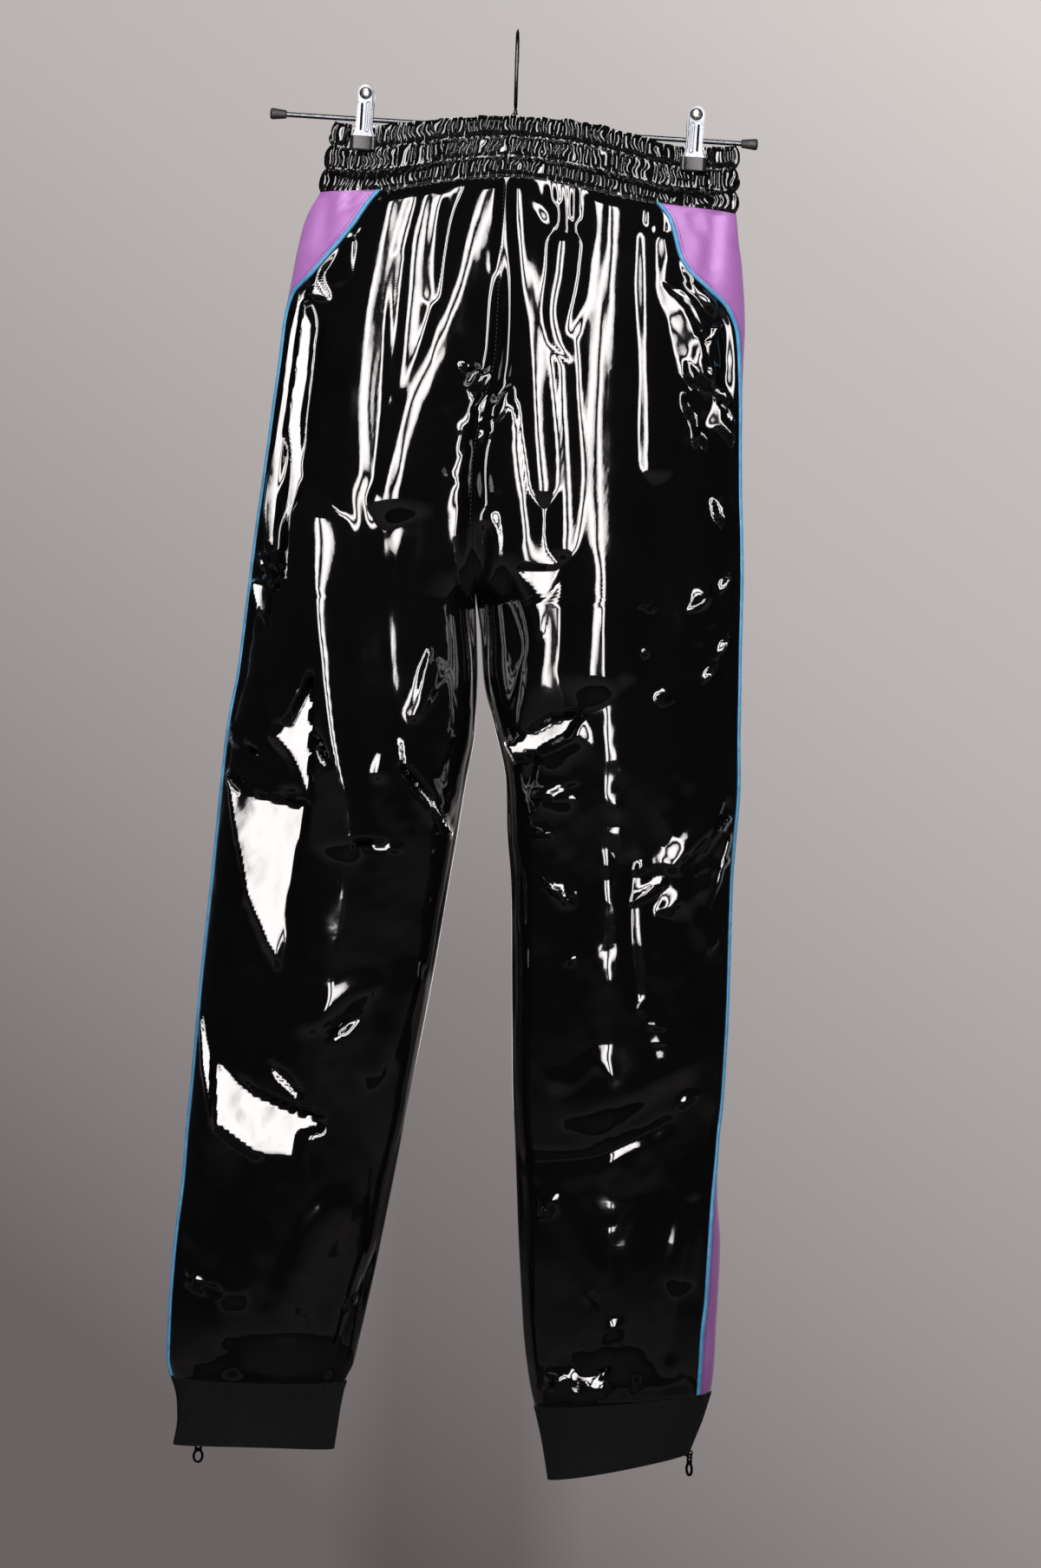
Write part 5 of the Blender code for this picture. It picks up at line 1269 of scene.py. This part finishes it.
def plated(name, colour, roughness):
    """Polished plated steel: a mirror with faint rubbing marks and a few dull specks."""
    made, tree, shader, place = start_material(name, colour, roughness, Metallic=1.0)
    rubbed = add(tree, NOISE, {"Vector": place, "Scale": 1 / (3.2 * MM), "Detail": 5, "Roughness": 0.6})
    specks = add(tree, NOISE, {"Vector": place, "Scale": 1 / (1.1 * MM), "Detail": 3}).outputs[0]
    dull = add(tree, RANGE, (rubbed.outputs[0], 0.35, 0.75, roughness * 0.7, roughness * 1.9)).outputs[0]
    finish_material(tree, shader, None, dull, specks, 0.006, 0.5)
    return made


def moulded(name, colours, roughness, **sockets):
    """Moulded plastic or rubber: even colour with a faint bloom and a fine orange peel."""
    made, tree, shader, place = start_material(name, colours[0], roughness, **sockets)
    bloom = add(tree, NOISE, {"Vector": place, "Scale": 1 / (4.0 * MM), "Detail": 4}).outputs[0]
    peel = add(tree, NOISE, {"Vector": place, "Scale": 1 / (0.8 * MM), "Detail": 2}).outputs[0]
    tone = add(tree, MIX, {"Factor": bloom, "A": linear(colours[0]), "B": linear(colours[1])},
               data_type="RGBA")
    dull = add(tree, RANGE, (bloom, 0.3, 0.7, roughness * 0.8, roughness * 1.2)).outputs[0]
    finish_material(tree, shader, tone.outputs["Result"], dull, peel, 0.03, 0.5)
    return made


PVC = pvc_gloss()
LEATHERETTE = leatherette()
PIPING = woven("piping_satin_bias_tape", ("#2f7fb4", "#4ba6d9", "#6cc0ea"), 0.5, 0.7, 0.25)
KNIT_YARN = rib_knit("cotton_rib_knit", ("#0b0a0b", "#131113", "#1c1a1c"))
TAPE = woven("polyester_zip_tape_woven", ("#0a0a0a", "#151416", "#1d1c1e"), 0.75, 0.9, 0.1)
BLACK_METAL = plated("zinc_alloy_black_enamelled", "#1a191b", 0.3)
TEETH = moulded("acetal_zip_teeth_moulded", ("#0d0d0e", "#19191a"), 0.4, IOR=1.48)
CHROME = plated("steel_chrome_plated", "#55575b", 0.14)
WIRE = plated("steel_wire_chrome_plated", "#484a4e", 0.24)
NICKEL = plated("steel_rivet_nickel_plated", "#b5b4b2", 0.3)
RUBBER = moulded("rubber_black_moulded", ("#141314", "#222021"), 0.6, IOR=1.5)
SLEEVE = moulded("vinyl_clear_smoky_dipped", ("#1c1b1c", "#2c2b2c"), 0.08, IOR=1.3, Transmission_Weight=0.2)
BLACK_THREAD = moulded("polyester_thread_black", ("#0c0c0d", "#202022"), 0.45, IOR=1.5)
MATT_THREAD = moulded("polyester_thread_black_matt", ("#060607", "#0c0c0d"), 0.8, IOR=1.2)
PURPLE_THREAD = moulded("polyester_thread_purple", ("#5a2c69", "#6d3a7c"), 0.5, IOR=1.5)


# ---------------------------------------------------------------- hanger

BAR_CENTRE = (-0.8, -75.6)   # X and Z
BAR_TILT = math.radians(1.98)
BAR_RADIUS = 2.0
BAR_HALF = 190.0
CAP_START = 179.8            # x where an end cap's profile starts
HOOK_RADIUS = 24.0           # to the middle of the wire
WIRE_RADIUS = 1.5
HOOK_CENTRE_Z = -22.5
HOOK_SUNK = -66.0            # the wire's lower end, in the flange
HOOK_FOOT = -60.0            # where it starts to curve
HOOK_END = math.radians(172)
CLIP_PLACES = {"left": -118.0, "right": 142.5}
PLATE = 1.2
# Clip plate: height from the bar, half width and distance from the middle of the cloth.
HEAD_HALF = 6.9
HEAD_CENTRE = 19.2
PLATE_ROWS = ((HEAD_CENTRE, HEAD_HALF, 7.8), (15.0, 6.8, 6.9), (8.0, 6.7, 5.3), (2.0, 6.6, 4.6),
              (-6.0, 6.7, 4.5), (-10.0, 7.4, 4.5), (-13.0, 8.6, 4.6), (-16.0, 9.4, 4.6), (-23.4, 9.5, 4.6))
# Turned shapes: radius and height.
RIVET = ((0.4, 2.2), (1.8, 2.0), (3.2, 1.5), (4.2, 0.8), (4.8, 0.1), (5.0, -0.3), (5.0, -0.9))
RIVET_AWAY = 8.9             # its foot, from the middle of the cloth
RIVET_HEIGHT = HEAD_CENTRE + 0.4
SLEEVE_HALF = 10.4
# Sleeve: height from the bar, and how much the rounded ends draw in.
SLEEVE_ROWS = ((-13.8, 0.5), (-14.2, 0.1), (-15.0, 0.0), (-23.2, 0.0), (-24.2, 0.3), (-24.7, 0.9))
SLEEVE_FACES = (3.3, 6.35)
SPRING_RADIUS = 3.1
SPRING_WIRE = 0.55
SPRING_TURNS = 6.5
SPRING_HALF = 4.3
CAP_PROFILE = ((2.1, -0.4), (3.0, -0.2), (3.3, 0.4), (3.7, 4.0), (4.2, 8.0), (4.5, 10.6), (4.3, 11.8),
               (3.6, 12.5), (1.6, 12.8))
FLANGE_PROFILE = ((1.6, 12.6), (2.4, 12.3), (2.8, 11.2), (3.1, 10.0), (6.6, 9.6), (7.5, 9.2), (7.5, 7.2),
                  (6.9, 6.6), (4.4, 6.4), (4.2, 2.0), (4.2, -4.2), (3.4, -4.6))


def hung(points):
    """Points of the tilted bar's own space, in the frame's space."""
    points = np.asarray(points, dtype=float)
    c, s = math.cos(BAR_TILT), math.sin(BAR_TILT)
    x, y, z = points[..., 0], points[..., 1], points[..., 2]
    return np.stack((BAR_CENTRE[0] + c * x + s * z, y, BAR_CENTRE[1] - s * x + c * z), axis=-1)


def lathe(name, profile, sides, centre, axis, finish):
    """Solid turned from a profile of (radius, height) round an axis of the bar's own space."""
    axis = Vector(axis)
    turn = np.linspace(0, math.tau, sides, endpoint=False)
    across = np.array(axis.orthogonal().normalized())
    other = np.cross(np.array(axis), across)
    rings = [np.array(centre) + np.array(axis) * height + radius * (np.cos(turn)[:, None] * across
                                                                    + np.sin(turn)[:, None] * other)
             for radius, height in profile]
    return rod(name, hung(np.array(rings)), finish)


def build_hook():
    """Wire hook: up from the flange, out to the near side, over the top and down behind."""
    foot = [(0, 0, z) for z in np.linspace(HOOK_SUNK, HOOK_FOOT, 4)]
    rise = [(0, -HOOK_RADIUS * math.sin(t), HOOK_CENTRE_Z - (HOOK_CENTRE_Z - HOOK_FOOT) * math.cos(t))
            for t in np.linspace(0, math.pi / 2, 22)[1:]]
    loop = [(0, -HOOK_RADIUS * math.cos(t), HOOK_CENTRE_Z + HOOK_RADIUS * math.sin(t))
            for t in np.linspace(0, HOOK_END, 48)[1:]]
    return tube("hook_wire", foot + rise + loop, WIRE_RADIUS, 16, WIRE)


def build_plate(side, face, way):
    """Pressed jaw plate: a round head, a raised rib and a wider jaw."""
    place = CLIP_PLACES[side]
    heights = np.concatenate((HEAD_CENTRE + HEAD_HALF * np.cos(np.linspace(0.12, math.pi / 2, 14)),
                              np.linspace(HEAD_CENTRE, PLATE_ROWS[-1][0], 60)[1:]))
    table = np.array(PLATE_ROWS)[::-1]
    half = smooth(table[:, (0, 1)], heights)
    round_half = np.sqrt(np.maximum(HEAD_HALF ** 2 - (heights - HEAD_CENTRE) ** 2, 0))
    half = np.where(heights > HEAD_CENTRE, round_half, half)
    away = smooth(table[:, (0, 2)], heights) + np.maximum(heights - HEAD_CENTRE, 0) * 0.2
    share = np.linspace(-1, 1, 25)[None, :]
    x = place + half[:, None] * share
    rib = 0.55 * np.exp(-(share * half[:, None] / 2.6) ** 4) * blend((13.5 - heights[:, None]) / 3)
    rib = rib * blend((heights[:, None] + 11) / 3)
    lip = 0.12 * blend((abs(share) * half[:, None] - half[:, None] + 1.4) / 1.4)
    faces = []
    for out in (PLATE / 2, -PLATE / 2):
        y = away[:, None] + out + rib * 0.8 - lip
        faces.append(hung(np.stack(np.broadcast_arrays(x, way * y, heights[:, None]), axis=-1)))
    return shell("clip_jaw_" + side + "_" + face, faces[0], faces[1], CHROME)


def build_sleeve(side, face, way):
    """Soft vinyl sleeve over the end of a jaw."""
    inner, outer = SLEEVE_FACES
    turn = np.linspace(0, math.tau, 40, endpoint=False)
    c, s = np.cos(turn), np.sin(turn)
    rings = []
    for height, shrink in SLEEVE_ROWS:
        x = CLIP_PLACES[side] + (SLEEVE_HALF - shrink) * np.sign(c) * abs(c) ** 0.4
        y = (inner + outer) / 2 + ((outer - inner) / 2 - shrink * 0.5) * np.sign(s) * abs(s) ** 0.8
        rings.append(np.stack((x, way * y, np.full_like(x, height)), axis=-1))
    return rod("jaw_sleeve_" + side + "_" + face, hung(np.array(rings)), SLEEVE)


def build_spring(side):
    """Coil between the jaws, with its axis along the bar."""
    turn = np.linspace(0, math.tau * SPRING_TURNS, 160)
    along = CLIP_PLACES[side] + np.linspace(-SPRING_HALF, SPRING_HALF, 160)
    path = np.stack((along, SPRING_RADIUS * np.cos(turn), SPRING_RADIUS * np.sin(turn)), axis=-1)
    return tube("clip_coil_" + side, hung(path), SPRING_WIRE, 8, CHROME)


def build_hanger():
    """Hanger's pieces, each with the nodes of the frame that it stands for."""
    line = hung([(x, 0, 0) for x in np.linspace(-BAR_HALF, BAR_HALF, 60)])
    pieces = [(build_hook(), ("hook",)),
              (tube("bar_rod", line, BAR_RADIUS, 20, WIRE), ("bar",)),
              (lathe("hook_flange", FLANGE_PROFILE, 48, (0, 0, 0), (0, 0, 1), CHROME), ("collar",))]
    for side, way in (("left", -1), ("right", 1)):
        cap = lathe("rubber_cap_" + side, CAP_PROFILE, 32, (way * CAP_START, 0, 0), (way, 0, 0), RUBBER)
        pieces.append((cap, ("end_cap_" + side,)))
        pieces.append((build_spring(side), ("clip_spring_" + side,)))
        for face, way_out in (("near", -1), ("far", 1)):
            plate = build_plate(side, face, way_out)
            rivet = lathe("clip_rivet_" + side + "_" + face, RIVET, 32,
                          (CLIP_PLACES[side], way_out * RIVET_AWAY, RIVET_HEIGHT), (0, way_out, 0), NICKEL)
            sleeve = build_sleeve(side, face, way_out)
            pieces += [(plate, ("clip_plate_" + side + "_" + face,)), (rivet, ()),
                       (sleeve, ("clip_sleeve_" + side + "_" + face,))]
    return pieces


# ---------------------------------------------------------------- the object

BODY = "trousers"
# Columns of each panel, with its finest and coarsest steps down.
PANEL_MESHES = {"back": (112, (1.5, 3.0)), "front": (64, (2.4, 5.0))}
STRIPE_COLUMNS, STRIPE_STEPS = 28, (2.0, 4.0)
BAND_COLUMNS, BAND_ROWS = 860, 52


def settle(piece, slot, *nodes):
    """Gives a piece its body and hides the nodes of the frame that it stands for. slot is not used."""
    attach(piece, BODY)
    if nodes:
        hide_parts(*nodes)


def build_trousers():
    """Everything of cloth, with its trims."""
    stitch = repeat_tree("stitches_along_seams", "GeometryNodeMeshUVSphere",
                         {"Segments": 6, "Rings": 4, "Radius": 0.5})
    teeth = repeat_tree("teeth_along_tape", "GeometryNodeMeshCube", {})
    cords = cord_tree()
    grips = [BAR_CENTRE[0] + place for place in CLIP_PLACES.values()]
    band = build_waistband(BAND_COLUMNS, BAND_ROWS, grips, PVC)
    settle(band, "pvc_waistband", "waistband")
    for side in ("left", "right"):
        for face, (columns, steps) in PANEL_MESHES.items():
            panel = build_panel(side, face, columns, panel_levels(*steps), PVC)
            settle(panel, "pvc", face + "_" + side)
        levels = panel_levels(*STRIPE_STEPS)
        stripe = build_stripe(side, STRIPE_COLUMNS, levels, LEATHERETTE)
        settle(stripe, "leatherette", "stripe_" + side)
        for face in ("back", "front"):
            piping = build_piping(side, face, levels, PIPING)
            settle(piping, "piping", "piping_" + side + "_" + face)
        seam = grow("stripe_stitches_" + side, stitch, stripe_stitch_paths(side, levels),
                    sewing("stripe_stitches", PURPLE_THREAD))
        settle(seam, "leatherette")
        cuff = build_cuff(side, KNIT_YARN)
        settle(cuff, "rib_knit", "cuff_" + side)
        ribs = grow("cuff_ribs_" + side, cords, rib_paths(side),
                    {"Radius": RIB_RADIUS * MM, "Sides": 5, "Finish": KNIT_YARN})
        settle(ribs, "rib_knit")
        tape = build_tape(side, TAPE)
        settle(tape, "zip_tape", "zip_" + side)
        chain = grow("zip_teeth_" + side, teeth, [tooth_path(side, way) for way in (-1, 1)],
                     sewing("zip_teeth", TEETH))
        settle(chain, "zip_tape")
    for name, paths, yarn in (("band_stitches", band_stitch_paths(grips), MATT_THREAD),
                              ("seam_stitches", seam_stitch_paths(), BLACK_THREAD)):
        settle(grow(name, stitch, paths, sewing(name, yarn)), "pvc")


def facing(points):
    """Direction out of the cloth, for each point of a path on the photographed side or the hidden one."""
    way = np.sign(points[:, 1:2])
    return np.hstack((np.zeros_like(way), way, np.zeros_like(way)))


def stripe_stitch_paths(side, levels):
    """Lines of stitching just inside both edges of a side stripe."""
    ring = Rings(side, levels[2:-1, None])
    paths = []
    for face, sign in (("back", 1), ("front", -1)):
        edge = ring.edge(face)[1]
        angle = sign * np.maximum(edge - STITCH_INSET / ring.pace(edge), 0)
        path = ring.place(angle, 0.12)[:, 0]
        out = ring.place(angle, 1.12)[:, 0] - path
        paths.append((path, out))
    return paths


def band_stitch_paths(grips):
    """Rows of stitching between the waistband's channels and along both its edges."""
    low, sign = waist_loop(BAND_COLUMNS)
    paths = []
    for down in (0.03, 1 / 3, 2 / 3, 0.97):
        plain, _ = band_points(low, sign, down, grips)
        path = np.vstack((plain, plain[:1]))
        out = outwards(plain[None])[0]
        out = np.vstack((out, out[:1]))
        paths.append((path - 0.35 * out, out))
    return paths


def seam_stitch_paths():
    """Stitching down the middle seam, from the waistband to the rise."""
    ring = Rings("left", np.linspace(WAIST_TOP_Z - 3, RISE_END - 60, 90)[:, None])
    path = ring.place(ring.last - 1.6 / ring.pace(ring.last), 0.25)[:, 0]
    return [(path, facing(path))]


SLOT_OF_FINISH = {WIRE: "chrome", CHROME: "chrome", NICKEL: "chrome", RUBBER: "black_rubber",
                  SLEEVE: "clear_plastic"}
for piece, nodes in build_hanger():
    settle(piece, SLOT_OF_FINISH[piece.data.materials[0]], *nodes)
build_trousers()
for side in ("left", "right"):
    for node_name in ("zip_slider_", "zip_pull_"):
        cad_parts[node_name + side].material_slots[0].material = BLACK_METAL

# ---------------------------------------------------------------- studio

bpy.context.scene.view_settings.view_transform = "Standard"

CAMERA_ROLL = math.radians(1.7)
LENS = 87.4
FLOOR_Z = -1.95
FLOOR_RADIUS = 2.2
# Lights of each side, in metres and degrees, with the kind of ray that doesn't meet them.
LIGHT_COLUMNS = ("kind", "width", "height", "bearing", "distance", "middle_z", "radiance", "unseen")
LIGHTS = (
    ("shine", 0.52, 3.6, SHINE_BEARING, SHINE_AWAY, 0.95, 12.0, "diffuse"),
    ("fill", 1.25, 1.5, 20.5, 2.0, 0.6, 6.0, "glossy"),
    ("far", 0.9, 2.2, 120, 2.4, 0.6, 4.0, "glossy"),
    ("back", 0.4, 2.8, 166, 2.4, 0.3, 2.5, ""),
)
SOFTBOX_COLOUR = (1.0, 0.965, 0.955)
SOFTBOX_MIDDLE = 1.33        # brightness of a softbox's middle, as a share of its radiance
SOFTBOX_FALL = 4.0           # and how much of it is lost towards the edges
SOFTBOX_FADE = (1.0, 0.3, 0.0)   # by its width and by its height
WALL_SLANT = 1.7             # how much the wall pales to the right, as a share of how it pales upwards
SHADOW_MIDDLE = -0.012       # the shadow between the legs, as shares of the view's direction to the right
SHADOW_EDGES = (0.016, 0.034)
SHADOW_DEPTH = 0.26
# Tones of the wall behind, from low on the left to high on the right.
WALL_TONES = ((0.04, "#6a6363"), (0.33, "#9a9393"), (0.64, "#b9b3b2"), (0.84, "#c5c0be"), (1.0, "#d8d1ce"))


def softbox(name, width, height, bearing, distance, middle_z, radiance, unseen):
    """Rectangular light that faces the trousers. radiance is its brightness as it is reflected."""
    data = bpy.data.lights.new(name, "AREA")
    data.shape = "RECTANGLE"
    data.size, data.size_y = width, height
    data.energy = radiance * math.pi * width * height
    data.color = SOFTBOX_COLOUR
    data.use_nodes = True
    tree = data.node_tree
    spot = add(tree, "ShaderNodeNewGeometry").outputs["Parametric"]
    away = add(tree, VECTORS, (spot, (0.5, 0.5, 0.0)), operation="SUBTRACT").outputs[0]
    away = add(tree, VECTORS, (away, SOFTBOX_FADE), operation="MULTIPLY").outputs[0]
    square = add(tree, VECTORS, (away, away), operation="DOT_PRODUCT").outputs["Value"]
    bright = add(tree, MATHS, (square, -SOFTBOX_FALL, SOFTBOX_MIDDLE), operation="MULTIPLY_ADD").outputs[0]
    tree.links.new(bright, tree.nodes["Emission"].inputs["Strength"])
    made = bpy.data.objects.new(name, data)
    bpy.context.scene.collection.objects.link(made)
    angle = math.radians(bearing)
    place = Vector((math.sin(angle) * distance, -math.cos(angle) * distance, middle_z))
    target = Vector((0, 0, middle_z))
    turned = (target - place).to_track_quat("-Z", "Y").to_matrix().to_4x4()
    made.matrix_world = Matrix.Translation(place) @ turned
    made.visible_camera = False
    if unseen:
        setattr(made, "visible_" + unseen, False)


def build_world():
    """Grey studio: paler behind the trousers and high up, darker low down, behind the camera and in the
    shadow that the legs cast between them."""
    world = bpy.data.worlds.new("studio_grey")
    bpy.context.scene.world = world
    world.use_nodes = True
    tree = world.node_tree
    way = add(tree, "ShaderNodeSeparateXYZ", (add(tree, PLACE).outputs["Generated"],)).outputs
    height = add(tree, RANGE, (way["Z"], -0.2, 0.2, 0.0, 1.0)).outputs[0]
    height = add(tree, MATHS, (way["X"], WALL_SLANT, height), operation="MULTIPLY_ADD").outputs[0]
    height = add(tree, RANGE, (height, -0.1, 1.2, 0.0, 1.0)).outputs[0]
    wall = add(tree, "ShaderNodeValToRGB", {"Fac": height})
    elements = wall.color_ramp.elements
    while len(elements) < len(WALL_TONES):
        elements.new(0.5)
    for element, (place, colour) in zip(elements, WALL_TONES):
        element.position = place
        element.color = linear(colour)
    behind = add(tree, RANGE, (way["Y"], 0.62, 0.955, 0.0, 1.0)).outputs[0]
    low = add(tree, RANGE, (way["Z"], -0.1, -0.65, 0.0, 1.0)).outputs[0]
    front = add(tree, MIX, {"Factor": low, "A": linear("#232121"), "B": linear("#78736f")},
                data_type="RGBA")
    seen = add(tree, "ShaderNodeLightPath").outputs["Is Camera Ray"]
    pale = add(tree, MATHS, (behind, seen), operation="MAXIMUM").outputs[0]
    tone = add(tree, MIX, {"Factor": pale, "A": front.outputs["Result"], "B": wall.outputs["Color"]},
               data_type="RGBA").outputs["Result"]
    aside = add(tree, MATHS, (way["X"], -SHADOW_MIDDLE), operation="ADD").outputs[0]
    aside = add(tree, MATHS, (aside,), operation="ABSOLUTE").outputs[0]
    shade = add(tree, RANGE, (aside, *SHADOW_EDGES, SHADOW_DEPTH, 0.0)).outputs[0]
    for share in (behind, add(tree, RANGE, (way["Z"], 0.1, -0.05, 0.0, 1.0)).outputs[0]):
        shade = add(tree, MATHS, (shade, share), operation="MULTIPLY").outputs[0]
    tone = add(tree, MIX, {"Factor": shade, "A": tone, "B": linear("#000000")},
               data_type="RGBA").outputs["Result"]
    tree.links.new(tone, tree.nodes["Background"].inputs["Color"])


def build_studio():
    """Camera, lights, floor and world."""
    camera = bpy.data.cameras.new("camera")
    camera.sensor_fit = "VERTICAL"
    camera.sensor_height = 36
    camera.lens = LENS
    holder = bpy.data.objects.new("camera", camera)
    bpy.context.scene.collection.objects.link(holder)
    holder.matrix_world = (Matrix.Translation(CAMERA_PLACE) @ Matrix.Rotation(-CAMERA_ROLL, 4, "Y")
                           @ Matrix.Rotation(math.radians(90), 4, "X"))
    bpy.context.scene.camera = holder
    for side, way in (("left", -1), ("right", 1)):
        for row in LIGHTS:
            light = dict(zip(LIGHT_COLUMNS, row))
            light["name"] = light.pop("kind") + "_" + side
            light["bearing"] *= way
            softbox(**light)
    data = bpy.data.meshes.new("floor")
    turn = np.linspace(0, math.tau, 64, endpoint=False)
    ring = [(FLOOR_RADIUS * math.cos(t), FLOOR_RADIUS * math.sin(t), FLOOR_Z) for t in turn]
    data.from_pydata(ring, [], [list(range(len(ring)))])
    data.materials.append(moulded("floor_painted_matt", ("#403d3b", "#4a4644"), 0.8))
    floor = bpy.data.objects.new("floor", data)
    bpy.context.scene.collection.objects.link(floor)
    build_world()


build_studio()
